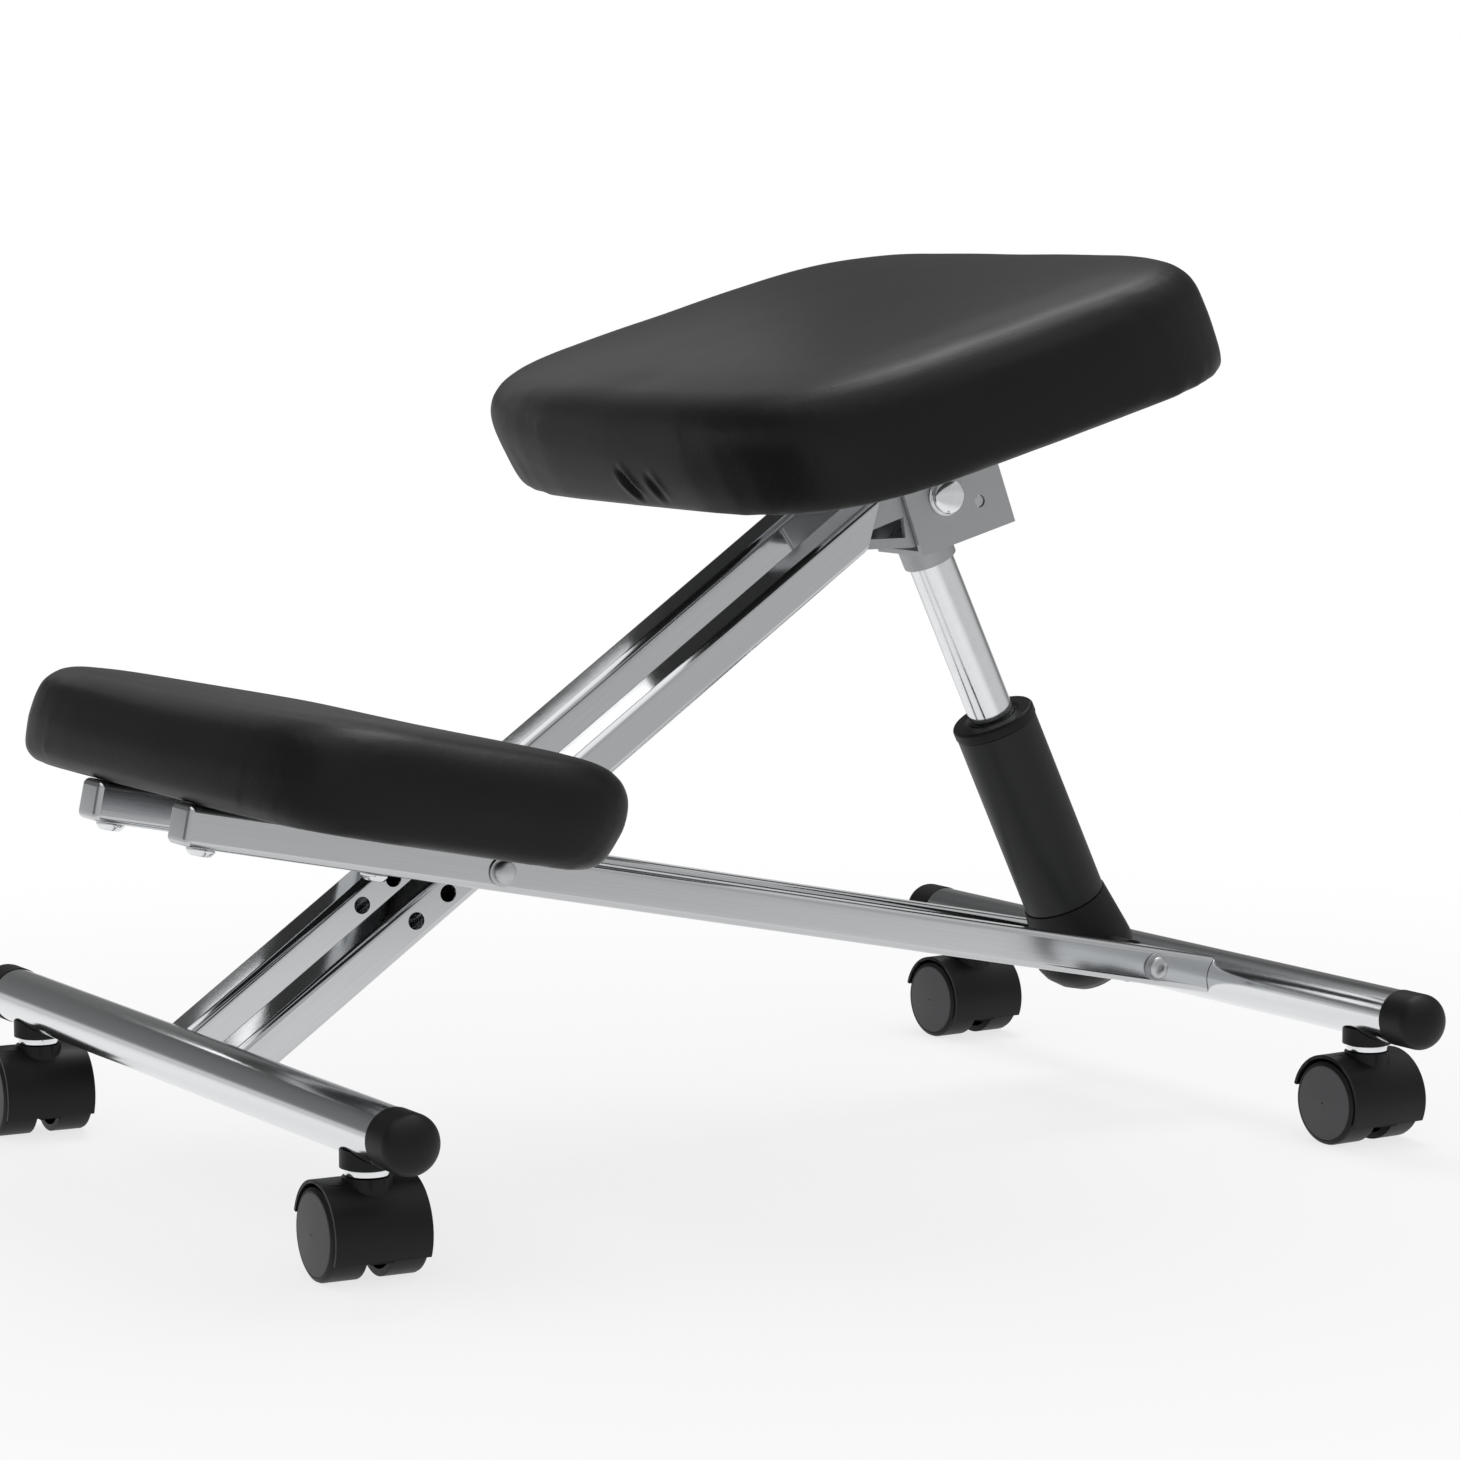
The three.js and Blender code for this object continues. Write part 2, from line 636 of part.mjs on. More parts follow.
/** The yoke between the struts: two cheeks with an eye and a window, and the web that joins them. */
function addYoke() {
  const low = yokePivot.x - strutSetbackLow;
  const edge = tubeHeight / 2 - yokeInset;
  const start = new THREE.Vector2(low - yokeWeld, edge);
  const shoulder = new THREE.Vector2(yokePivot.x - strutSetbackHigh, edge);
  const webStart = new THREE.Vector2(low, -tubeHeight / 2);
  const level = new THREE.Vector2(yokeWebLength, 0).rotateAround(new THREE.Vector2(), -strutRise);
  const webEnd = webStart.clone().add(level);
  const above = touchPoint(shoulder, yokePivot, eyeRadius, -1);
  const below = touchPoint(webEnd, yokePivot, eyeRadius, 1);
  const outline = new THREE.Shape([start, new THREE.Vector2(start.x, -edge),
    new THREE.Vector2(low, -edge), webStart, webEnd, below, yokePivot, above, shoulder]);
  const frame = yokeWindowFrame;
  const windowLow = webStart.clone().add(new THREE.Vector2(frame, frame / 2));
  const inward = new THREE.Vector2(-frame, frame).rotateAround(new THREE.Vector2(), -strutRise);
  const windowEnd = webEnd.clone().add(inward);
  const windowTop = yokePivot.clone().lerp(shoulder, 1 / 2);
  windowTop.sub(new THREE.Vector2(frame, yokeWindowDrop));
  const opening = new THREE.Shape([windowLow, windowEnd, windowTop]);
  const slope = new THREE.Vector2(0, plateThickness).rotateAround(new THREE.Vector2(), -strutRise);
  const web = new THREE.Shape([webStart, webEnd, webEnd.clone().add(slope), webStart.clone().add(slope)]);
  const joined = [sidePlate(web, -strutInside, strutInside)];
  const eye = [yokePivot.x, yokePivot.y];
  for (const from of [-strutInside, strutInside - plateThickness]) {
    const to = from + plateThickness;
    joined.push(sidePlate(outline, from, to));
    joined.push(rod('x', eyeRadius, from, to, eye, liftSides));
  }
  const far = strutInside + cutOverrun;
  const cutters = [
    sidePlate(opening, -far, far),
    rod('x', seatBoltRadius + openPivotGap, -far, far, eye, liftSides)];
  addPart(strutFrame, 'strut_yoke', shapeFrom(joined, cutters), greyPaintedSteel);
}

/** The bracket under the seat: top plate, two side plates, bottom plate and the lift's sleeve. */
function addBracket() {
  const outside = bracketInside + plateThickness;
  const topLow = -fitGap - plateThickness;
  const centre = pivotBehindCentre;
  const front = centre - bracketFront;
  const rear = centre + bracketRear;
  const outline = new THREE.Shape([
    new THREE.Vector2(front - bracketTaper, topLow + fitGap), new THREE.Vector2(front, -bracketHeight),
    new THREE.Vector2(rear, -bracketHeight), new THREE.Vector2(rear - bracketTaper, topLow + fitGap)]);
  const boreRadius = cylinderRadius + fitGap;
  const mouth = cylinderTop - sleeveLength;
  const sleeve = rod('z', boreRadius + sleeveWall, mouth, cylinderTop, [0, 0], liftSides);
  const bore = rod('z', boreRadius, mouth - cutOverrun, cylinderTop + cutOverrun, [0, 0], liftSides);
  const floorHalf = bracketInside + fitGap;
  const joined = [
    block([-bracketTopWidth / 2, centre - bracketTopHalf, topLow],
      [bracketTopWidth / 2, centre + bracketTopHalf, -fitGap]),
    block([-floorHalf, front, -bracketHeight], [floorHalf, rear, plateThickness - bracketHeight]),
    sidePlate(outline, bracketInside, outside),
    sidePlate(outline, -outside, -bracketInside),
    sleeve.applyMatrix4(seatFromLift)];
  const far = outside + cutOverrun;
  const cutters = [
    rod('x', seatBoltRadius + fitGap, -far, far, [centre, -pivotUnderSeat]),
    rod('x', leverRadius + fitGap, -far, far, leverAxis),
    bore.applyMatrix4(seatFromLift)];
  for (const place of screwPlaces()) {
    cutters.push(rod('z', screwRadius + fitGap, topLow - cutOverrun, cutOverrun, place));
  }
  addPart(seatFrame, 'seat_bracket', shapeFrom(joined, cutters), greyPaintedSteel);
  const headRadius = seatBoltFlangeRadius - boltFlange;
  const bolt = boltThrough(outside, seatBoltRadius, seatBoltFlangeRadius, headRadius, seatBoltDome, false);
  addPart(seatFrame, 'seat_pivot_bolt', bolt, polishedSteel, [0, centre, -pivotUnderSeat]);
}

/** Where the four screws go through the bracket's top plate. */
function screwPlaces() {
  const aside = bracketTopWidth / 2 - screwMargin;
  const front = pivotBehindCentre - bracketTopHalf + screwMargin;
  const rear = pivotBehindCentre + bracketTopHalf - screwMargin;
  return [[aside, front], [-aside, front], [aside, rear], [-aside, rear]];
}

/** The release lever: a rod across the bracket with a paddle over the valve pin, and its grip. */
function addLever() {
  const start = new THREE.Vector3(bracketInside + plateThickness - leverSetback, 0, 0);
  const path = new THREE.CurvePath();
  const bendStart = new THREE.Vector3(leverBend - leverReach, 0, 0);
  const corner = new THREE.Vector3(-leverReach, 0, 0);
  const bendEnd = new THREE.Vector3(-leverReach, leverBend, 0);
  path.add(new THREE.LineCurve3(start, bendStart));
  path.add(new THREE.QuadraticBezierCurve3(bendStart, corner, bendEnd));
  path.add(new THREE.LineCurve3(bendEnd, new THREE.Vector3(-leverReach, leverHandle, 0)));
  const section = new THREE.Shape().absarc(0, 0, leverRadius, 0, turn);
  const rodShape = new THREE.ExtrudeGeometry(section,
    { steps: leverSteps, curveSegments: leverArcSteps, extrudePath: path, bevelEnabled: false });
  const pinTop = new THREE.Vector3(0, 0, cylinderTop + valveStand).applyMatrix4(seatFromLift);
  const slant = valveRadius * Math.sin(radians(liftLean - seatTilt));
  const below = pinTop.z + slant + fitGap - leverAxis[1];
  const reach = pinTop.y - leverAxis[0] - paddleOverhang;
  const paddle = block([-paddleWidth / 2, reach, below], [paddleWidth / 2, 0, below + paddleThickness]);
  addPart(seatFrame, 'release_lever', shapeFrom([rodShape, paddle]), zincSteel, [0, ...leverAxis]);
  const gripInner = leverRadius + fitGap;
  const grip = shapeFrom(
    [rod('y', gripRadius, leverBend + fitGap, leverHandle + gripWall)],
    [rod('y', gripInner, leverBend - cutOverrun, leverHandle + fitGap)]);
  addPart(seatFrame, 'lever_grip', grip, blackPlastic, [-leverReach, ...leverAxis]);
}

/** Points of a rounded rectangle whose corners tighten with its power, from its half sizes. */
function padOutline(halfWidth, halfDepth, power) {
  const bend = (value) => Math.sign(value) * Math.abs(value) ** (2 / power);
  return Array.from({ length: cushionSides }, (_, i) => {
    const angle = turn * i / cushionSides;
    return new THREE.Vector2(halfWidth * bend(Math.cos(angle)), halfDepth * bend(Math.sin(angle)));
  });
}

/** A cushion: drawn-in sides, rounded top edges and a crown, with a flat underside at zero. */
function cushionGeometry(form) {
  const halfWidth = form.width / 2;
  const halfDepth = form.depth / 2;
  const unit = padOutline(1, 1, form.power);
  const positions = [];
  const ring = (inset, heightAt, shrinkShare = 1, topShare = 0, undercutShare = 0) => {
    unit.forEach((corner, i) => {
      const angle = turn * i / cushionSides;
      const edge = form.frontEdge + (form.rearEdge - form.frontEdge) * (1 + corner.y) / 2;
      const pull = inset(edge) + form.draw * Math.cos(angle * 2) ** 2;
      const rearShare = Math.max(0, corner.y) ** 4 * (1 - Math.abs(corner.x) ** 3);
      const undercut = form.rearUndercut * undercutShare * rearShare;
      const height = heightAt(edge);
      const x = corner.x * (halfWidth - pull) * shrinkShare;
      const y = corner.y * (halfDepth - pull) * shrinkShare + form.lean * height / form.height;
      positions.push(x, y - undercut, height + form.dip * (x / halfWidth) ** 2 * topShare);
    });
  };
  const sideShares = [[0, 1, 1], [0.15, 0.3, 0.8], [0.45, 0, 0]];
  for (const [heightShare, insetShare, undercutShare] of sideShares) {
    ring(() => form.bottomInset * insetShare, () => form.height * heightShare, 1, 0, undercutShare);
  }
  const edgeShares = [0, 0.25, 0.5, 0.75, 1];
  for (const edgeShare of edgeShares) {
    const angle = quarter * edgeShare;
    const inset = (edge) => edge * (1 - Math.cos(angle));
    const heightAt = (edge) => form.height - edge * (1 - Math.sin(angle));
    ring(inset, heightAt, 1, edgeShare);
  }
  const crownShares = [0.15, 0.35, 0.6, 0.85];
  for (const crownShare of crownShares) {
    const rise = form.crown * (1 - (1 - crownShare) ** 2);
    ring((edge) => edge, () => form.height + rise, 1 - crownShare, 1);
  }
  const rings = positions.length / 3 / cushionSides;
  const bottom = rings * cushionSides;
  const top = bottom + 1;
  positions.push(0, 0, 0, 0, form.lean, form.height + form.crown);
  const faces = [];
  for (let i = 0; i < cushionSides; i += 1) {
    const next = (i + 1) % cushionSides;
    faces.push(bottom, next, i);
    for (let r = 0; r < rings - 1; r += 1) {
      const low = r * cushionSides;
      const high = low + cushionSides;
      faces.push(low + i, low + next, high + next, low + i, high + next, high + i);
    }
    const last = (rings - 1) * cushionSides;
    faces.push(last + i, last + next, top);
  }
  const geometry = new THREE.BufferGeometry();
  geometry.setAttribute('position', new THREE.Float32BufferAttribute(positions, 3));
  geometry.setIndex(faces);
  return geometry;
}

/** A board with blind holes, and the cushion that wraps round it. */
function addPad(parent, name, form, place, holes) {
  const half = [form.width / 2 - form.boardInset, form.depth / 2 - form.boardInset];
  const boardShape = new THREE.Shape(padOutline(half[0], half[1], form.power));
  const board = new THREE.ExtrudeGeometry(boardShape, { depth: form.board, bevelEnabled: false });
  board.translate(0, -form.boardAhead, 0);
  const drills = holes.places.map((at) => (
    rod('z', holes.radius + fitGap, -cutOverrun, holes.depth + fitGap, at)));
  addPart(parent, `${name}_board`, shapeFrom([board], drills), plywood, place);
  const recessShape = new THREE.Shape(padOutline(half[0] + fitGap, half[1] + fitGap, form.power));
  const depth = form.board + fitGap + cutOverrun;
  const recess = new THREE.ExtrudeGeometry(recessShape, { depth, bevelEnabled: false });
  recess.translate(0, -form.boardAhead, -cutOverrun);
  const cushion = shapeFrom([cushionGeometry(form)], [recess]);
  addPart(parent, `${name}_cushion`, cushion, blackLeather, place);
}

/** A round-headed screw that stands on its head at zero and rises to a height. */
function screwGeometry(radius, headRadius, headHeight, rise) {
  const dome = headRadius * Math.SQRT1_2;
  const profile = [[0, -headHeight], [dome, -headHeight], [headRadius, -headHeight / 3], [headRadius, 0],
    [radius, 0], [radius, rise], [0, rise]];
  return shapeFrom([turned('z', profile, boltSides)]);
}

/** The seat: board, cushion and the screws that hold them on the bracket. */
function addSeat() {
  const form = {
    width: seatWidth, depth: seatDepth, height: seatHeight, power: seatCornerPower, crown: seatCrown,
    dip: seatDip, bottomInset: seatBottomInset, rearUndercut: seatRearUndercut, lean: seatLean,
    frontEdge: seatFrontEdge, rearEdge: seatRearEdge, draw: seatDraw,
    board: seatBoardThickness, boardInset: seatBoardInset, boardAhead: seatBoardAhead };
  const holes = { radius: screwRadius, depth: screwDepth, places: screwPlaces() };
  addPad(seatFrame, 'seat', form, [0, 0, 0], holes);
  const under = -fitGap - plateThickness - fitGap;
  const names = ['front_left', 'front_right', 'rear_left', 'rear_right'];
  screwPlaces().forEach(([x, y], i) => {
    const screw = screwGeometry(screwRadius, screwHeadRadius, screwHead, screwDepth - under);
    addPart(seatFrame, `seat_screw_${names[i]}`, screw, zincSteel, [x, y, under]);
  });
}

/** The knee pad: board, cushion and the bolts that hold them on the rails. */
function addKneePad() {
  const form = {
    width: kneeWidth, depth: kneeDepth, height: kneeHeight, power: kneeCornerPower, crown: kneeCrown,
    dip: kneeDip, bottomInset: kneeBottomInset, rearUndercut: kneeRearUndercut, lean: kneeLean,
    frontEdge: kneeFrontEdge, rearEdge: kneeRearEdge, draw: kneeDraw,
    board: kneeBoardThickness, boardInset: kneeBoardInset, boardAhead: kneeBoardAhead };
  const top = tubeHeight / 2 + fitGap;
  const under = -top;
  const rearAhead = kneeBoltAhead - kneeBoltPitch;
  const spots = [['front_left', railCentre, kneeBoltAhead], ['front_right', -railCentre, kneeBoltAhead],
    ['rear_left', railCentre, rearAhead], ['rear_right', -railCentre, rearAhead]];
  const depth = kneeBoardThickness * 3 / 4;
  const places = spots.map(([, x, ahead]) => [x, kneeAhead - ahead]);
  addPad(railFrame, 'knee', form, [0, -kneeAhead, top], { radius: kneeBoltRadius, depth, places });
  for (const [name, x, ahead] of spots) {
    const bolt = screwGeometry(kneeBoltRadius, kneeBoltHeadRadius, kneeBoltHead, top + depth - under);
    addPart(railFrame, `knee_bolt_${name}`, bolt, chrome, [x, -ahead, under]);
  }
}

addRails();
addStruts();
addPivots();
addBar('front', frontBar, frontBarLength);
addBar('rear', rearBar, rearBarLength);
const frontStem = frontBarLength / 2 - casterInset;
const rearStem = rearBarLength / 2 - casterInset;
for (const [side, sign] of [['left', 1], ['right', -1]]) {
  addCaster(`front_${side}_caster`, sign * frontStem, frontBar.x, frontCasterTurn);
  addCaster(`rear_${side}_caster`, sign * rearStem, rearBar.x, rearCasterTurn);
}
addLift();
addYoke();
addBracket();
addLever();
addSeat();
addKneePad();

// The origin is on the floor, under the middle of the whole chair
chair.updateMatrixWorld(true);
const extent = new THREE.Box3().setFromObject(chair, true);
const middle = extent.getCenter(new THREE.Vector3());
chair.position.set(-middle.x, -middle.y, -extent.min.z);
chair.updateMatrixWorld(true);

export default chair;
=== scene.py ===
from math import asin, atan2, cos, hypot, pi, radians, sin

import bpy
import numpy as np
from mathutils import Matrix, Vector


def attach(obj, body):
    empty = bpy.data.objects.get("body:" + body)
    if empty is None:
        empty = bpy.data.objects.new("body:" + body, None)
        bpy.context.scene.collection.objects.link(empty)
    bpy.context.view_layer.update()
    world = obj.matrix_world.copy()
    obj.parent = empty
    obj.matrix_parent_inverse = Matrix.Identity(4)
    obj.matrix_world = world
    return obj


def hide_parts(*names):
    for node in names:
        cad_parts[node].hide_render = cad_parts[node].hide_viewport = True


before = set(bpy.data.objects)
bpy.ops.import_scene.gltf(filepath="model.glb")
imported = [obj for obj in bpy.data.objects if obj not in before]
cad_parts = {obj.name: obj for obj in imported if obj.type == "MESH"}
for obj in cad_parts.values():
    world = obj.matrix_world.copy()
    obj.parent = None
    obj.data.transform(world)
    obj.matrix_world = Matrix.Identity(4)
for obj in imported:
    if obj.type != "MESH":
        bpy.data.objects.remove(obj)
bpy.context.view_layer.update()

# The camera stands at the chair's front left, a little above the seat, with a long lens, as the
# photograph's straight edges give it.
CAMERA_TARGET = Vector((-0.0040, 0.0234, 0.2428))
CAMERA_AZIMUTH = radians(58.91)
CAMERA_ELEVATION = radians(6.39)
CAMERA_DISTANCE = 2.65
LENS_LENGTH, SENSOR_WIDTH = 110.5, 36
toward_camera = Vector((sin(CAMERA_AZIMUTH) * cos(CAMERA_ELEVATION),
                        -cos(CAMERA_AZIMUTH) * cos(CAMERA_ELEVATION), sin(CAMERA_ELEVATION)))
camera_data = bpy.data.cameras.new("camera")
camera_data.lens = LENS_LENGTH
camera_data.sensor_width = SENSOR_WIDTH
camera = bpy.data.objects.new("camera", camera_data)
camera.location = CAMERA_TARGET + toward_camera * CAMERA_DISTANCE
camera.rotation_euler = (-toward_camera).to_track_quat("-Z", "Y").to_euler()
bpy.context.scene.collection.objects.link(camera)
bpy.context.scene.camera = camera
bpy.context.scene.view_settings.view_transform = "Standard"


# The front and rear crossbars are 32 mm round steel tubes, polished and chrome plated, bored from
# below for the casters' sockets and open at both ends under their caps.
def linear(colour):
    """A hex colour as the shader's linear red, green, blue and alpha."""
    shares = [int(colour[i:i + 2], 16) / 255 for i in (1, 3, 5)]
    return tuple(s / 12.92 if s <= 0.04045 else ((s + 0.055) / 1.055) ** 2.4 for s in shares) + (1,)


def add_node(tree, kind, inputs=None, **settings):
    """Adds a node with its settings; each input is a value, or the socket that feeds it."""
    node = tree.nodes.new(kind)
    for name, value in settings.items():
        setattr(node, name, value)
    for name, value in (inputs or {}).items():
        if isinstance(value, bpy.types.NodeSocket):
            tree.links.new(value, node.inputs[name])
        else:
            node.inputs[name].default_value = value
    return node


def start_material(name, **values):
    """An empty node material and its Principled shader; the values are even over the surface."""
    material = bpy.data.materials.new(name)
    material.use_nodes = True
    tree = material.node_tree
    tree.nodes.clear()
    inputs = {key.replace("_", " "): value for key, value in values.items()}
    shader = add_node(tree, "ShaderNodeBsdfPrincipled", inputs)
    add_node(tree, "ShaderNodeOutputMaterial", {"Surface": shader.outputs["BSDF"]})
    return material, tree, shader


def pick(piece):
    """Selects one object alone and makes it the active one."""
    bpy.ops.object.select_all(action="DESELECT")
    piece.select_set(True)
    bpy.context.view_layer.objects.active = piece


def modify(piece, kind, **settings):
    """Adds a modifier with its settings to the active piece, and applies it."""
    modifier = piece.modifiers.new(kind.lower(), kind)
    for name, value in settings.items():
        setattr(modifier, name, value)
    bpy.ops.object.modifier_apply(modifier=modifier.name)


def rod(radius, low, high, place=(0, 0), axis="Z", sides=96):
    """A solid cylinder along an axis from low to high, at a place on the other two axes."""
    middle, a, b = (low + high) / 2, *place
    centre = {"X": (middle, a, b), "Y": (a, middle, b), "Z": (a, b, middle)}[axis]
    turn = {"X": (0, pi / 2, 0), "Y": (pi / 2, 0, 0), "Z": (0, 0, 0)}[axis]
    bpy.ops.object.select_all(action="DESELECT")
    bpy.ops.mesh.primitive_cylinder_add(vertices=sides, radius=radius, depth=high - low,
                                        location=centre, rotation=turn)
    bpy.ops.object.transform_apply(location=True, rotation=True, scale=True)
    return bpy.context.object


def combine(piece, other, operation="DIFFERENCE"):
    """Cuts the other solid from the piece, or joins it on, and removes the other."""
    pick(piece)
    modify(piece, "BOOLEAN", operation=operation, solver="EXACT", object=other)
    bpy.data.objects.remove(other)
    return piece


def soften(piece, width, segments=3, angle=32):
    """Rounds the edges that are sharper than the angle, and shades flat faces flat."""
    pick(piece)
    modify(piece, "BEVEL", width=width, segments=segments, limit_method="ANGLE",
           angle_limit=radians(angle))
    bpy.ops.object.shade_smooth_by_angle(angle=radians(angle))
    modify(piece, "WEIGHTED_NORMAL", keep_sharp=True)
    return piece


def lay(piece, origin, tilt=0.0, turn=0.0):
    """Sets a piece down at its place on the chair, tilted about X or turned about Z."""
    pick(piece)
    piece.location = origin
    piece.rotation_euler = (tilt, 0, turn)
    bpy.ops.object.transform_apply(location=True, rotation=True, scale=True)
    return piece


def copy_of(piece, name, matrix):
    """A copy with its own mesh, moved by the matrix."""
    twin = bpy.data.objects.new(name, piece.data.copy())
    twin.data.transform(matrix)
    bpy.context.scene.collection.objects.link(twin)
    return twin


def fit(piece, name, material, slot, body, *nodes):
    """Names a finished piece, gives it its material and its body, and hides the solids it stands
    for.
    """
    piece.name = name
    piece.data.materials.clear()
    piece.data.materials.append(material)
    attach(piece, body)
    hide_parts(*nodes)


# Polished chrome plate: a mirror with the faint lengthwise waviness that tube polishing leaves.
polished_chrome, tree, shader = start_material("polished chrome plate", Metallic=1.0,
                                               Base_Color=linear("#E6E8EA"))
place = add_node(tree, "ShaderNodeTexCoord").outputs["Object"]
drawn = add_node(tree, "ShaderNodeMapping", {"Vector": place, "Scale": (3, 160, 160)})
waves = add_node(tree, "ShaderNodeTexNoise",
                 {"Vector": drawn.outputs[0], "Scale": 1.0, "Detail": 4.0})
gloss = add_node(tree, "ShaderNodeMapRange",
                 {"Value": waves.outputs["Fac"], "To Min": 0.11, "To Max": 0.2})
bump = add_node(tree, "ShaderNodeBump",
                {"Height": waves.outputs["Fac"], "Strength": 0.06, "Distance": 0.0002})
tree.links.new(gloss.outputs[0], shader.inputs["Roughness"])
tree.links.new(bump.outputs[0], shader.inputs["Normal"])

BAR_RADIUS, BAR_WALL, BAR_HEIGHT = 0.016, 0.0015, 0.079
SOCKET_RADIUS, STEM_INSET = 0.0088, 0.030
CROSSBARS = (("front", Vector((0, -0.328478, BAR_HEIGHT)), 0.249, "strut_frame"),
             ("rear", Vector((0, 0.334551, BAR_HEIGHT)), 0.239, "knee_frame"))
STEEL_EDGE = 0.0004
OVERRUN, CUTTER_REACH = 0.01, 0.03
for end, centre, half, body in CROSSBARS:
    bar = rod(BAR_RADIUS, -half, half, axis="X")
    combine(bar, rod(BAR_RADIUS - BAR_WALL, -half - OVERRUN, half + OVERRUN, axis="X"))
    for x in (half - STEM_INSET, STEM_INSET - half):
        combine(bar, rod(SOCKET_RADIUS, -CUTTER_REACH, 0, (x, 0)))
    soften(bar, STEEL_EDGE, 2)
    lay(bar, centre)
    fit(bar, f"{end}_crossbar", polished_chrome, "polished_bar", body, f"{end}_bar")


# Each end cap is a black polyethylene plug pressed into the bar, with a domed head as wide as the
# tube. Injection moulding leaves a fine even grain on it.
def turned(rings, sides=96):
    """A solid turned about Z from (radius, height) rings; it is bored if the last is the first."""
    bored = rings[0] == rings[-1]
    bpy.ops.object.select_all(action="DESELECT")
    bpy.ops.mesh.primitive_circle_add(vertices=sides, radius=rings[0][0],
                                      location=(0, 0, rings[0][1]),
                                      fill_type="NOTHING" if bored else "NGON")
    piece = bpy.context.object
    bpy.ops.object.transform_apply(location=True, rotation=True, scale=True)
    bpy.ops.object.mode_set(mode="EDIT")
    bpy.ops.mesh.select_all(action="SELECT")
    for (radius, height), (next_radius, next_height) in zip(rings, rings[1:]):
        share, rise = next_radius / radius, (0, 0, next_height - height)
        bpy.ops.mesh.extrude_region_move(TRANSFORM_OT_translate={"value": rise})
        bpy.ops.transform.resize(value=(share, share, 1), center_override=(0, 0, next_height))
    bpy.ops.mesh.select_all(action="SELECT")
    bpy.ops.mesh.remove_doubles(threshold=1e-6)
    bpy.ops.mesh.normals_make_consistent(inside=False)
    bpy.ops.object.mode_set(mode="OBJECT")
    return piece


def moulded(name, colour, roughness, grain=0.0006):
    """A moulded plastic with its own grain; the size of a grain is in metres."""
    material, tree, shader = start_material(name, Base_Color=linear(colour), IOR=1.49,
                                            Specular_IOR_Level=0.25)
    place = add_node(tree, "ShaderNodeTexCoord").outputs["Object"]
    grains = add_node(tree, "ShaderNodeTexNoise",
                      {"Vector": place, "Scale": 1 / grain, "Detail": 3.0})
    bump = add_node(tree, "ShaderNodeBump",
                    {"Height": grains.outputs["Fac"], "Strength": 0.35, "Distance": 0.00004})
    rub = add_node(tree, "ShaderNodeTexNoise", {"Vector": place, "Scale": 45.0, "Detail": 5.0})
    gloss = add_node(tree, "ShaderNodeMapRange",
                     {"Value": rub.outputs["Fac"], "To Min": roughness - 0.05,
                      "To Max": roughness + 0.07})
    tree.links.new(gloss.outputs[0], shader.inputs["Roughness"])
    tree.links.new(bump.outputs[0], shader.inputs["Normal"])
    return material


black_polyethylene = moulded("black moulded polyethylene", "#101011", 0.48)
GAP = 0.0003
PLUG_RADIUS, PLUG_DEPTH = 0.0142, 0.015
CAP_RADIUS, CAP_WALL_END, CAP_TOP = 0.0165, 0.018, 0.030
TIP_RADIUS, CAP_STEPS = 0.0004, 12
dome = [(CAP_RADIUS * cos(pi / 2 * i / CAP_STEPS),
         CAP_WALL_END + (CAP_TOP - CAP_WALL_END) * sin(pi / 2 * i / CAP_STEPS))
        for i in range(CAP_STEPS)]
end_cap = turned([(PLUG_RADIUS, -PLUG_DEPTH), (PLUG_RADIUS, GAP), (CAP_RADIUS, GAP)] + dome
                 + [(TIP_RADIUS, CAP_TOP)])
soften(end_cap, STEEL_EDGE, 2, 40)
for end, centre, half, body in CROSSBARS:
    for side, way in (("left", 1), ("right", -1)):
        matrix = (Matrix.Translation(centre + Vector((way * half, 0, 0)))
                  @ Matrix.Rotation(way * pi / 2, 4, "Y"))
        cap = copy_of(end_cap, f"{end}_{side}_plug", matrix)
        fit(cap, f"{end}_{side}_plug", black_polyethylene, "black_plastic", body,
            f"{end}_{side}_end_cap")
bpy.data.objects.remove(end_cap)

# The rails are 26 by 23 mm rectangular steel tubes with round corners, satin brushed along their
# length. They run outside the struts, are coped over the rear bar, and have a closed, welded nose.
PIVOT = Vector((0, -0.171018, 0.182227))
RAIL_FALL = radians(11.54)
TUBE_WIDTH, TUBE_HEIGHT, TUBE_CORNER, TUBE_WALL = 0.026, 0.023, 0.004, 0.0015
RAIL_X, RAIL_NOSE, RAIL_END, LIFT_ALONG = 0.0609, -0.194, 0.516, 0.460
NOSE_PLATE, TUBE_CUT = 0.003, 0.02
BOLT_HOLE, KNEE_BOLT_HOLE, KNEE_BOLTS_ALONG = 0.0053, 0.0033, (-0.178, -0.072)


def block(centre, size):
    """A solid box by its centre and its size."""
    bpy.ops.object.select_all(action="DESELECT")
    bpy.ops.mesh.primitive_cube_add(size=1, location=centre, scale=size)
    bpy.ops.object.transform_apply(location=True, rotation=True, scale=True)
    return bpy.context.object


def tube_bar(low, high, inset=0.0):
    """A bar along Y with the tube's outer section or, inset by the wall, with its bore's."""
    width, height = TUBE_WIDTH - 2 * inset, TUBE_HEIGHT - 2 * inset
    piece = block((0, (low + high) / 2, 0), (width, high - low, height))
    for edge in piece.data.edges:
        ends = [piece.data.vertices[v].co for v in edge.vertices]
        edge.select = abs(ends[0].y - ends[1].y) > (high - low) / 2
    bpy.ops.object.mode_set(mode="EDIT")
    bpy.ops.mesh.select_mode(type="EDGE")
    bpy.ops.mesh.bevel(offset=TUBE_CORNER - inset, segments=6, affect="EDGES")
    bpy.ops.object.mode_set(mode="OBJECT")
    return piece


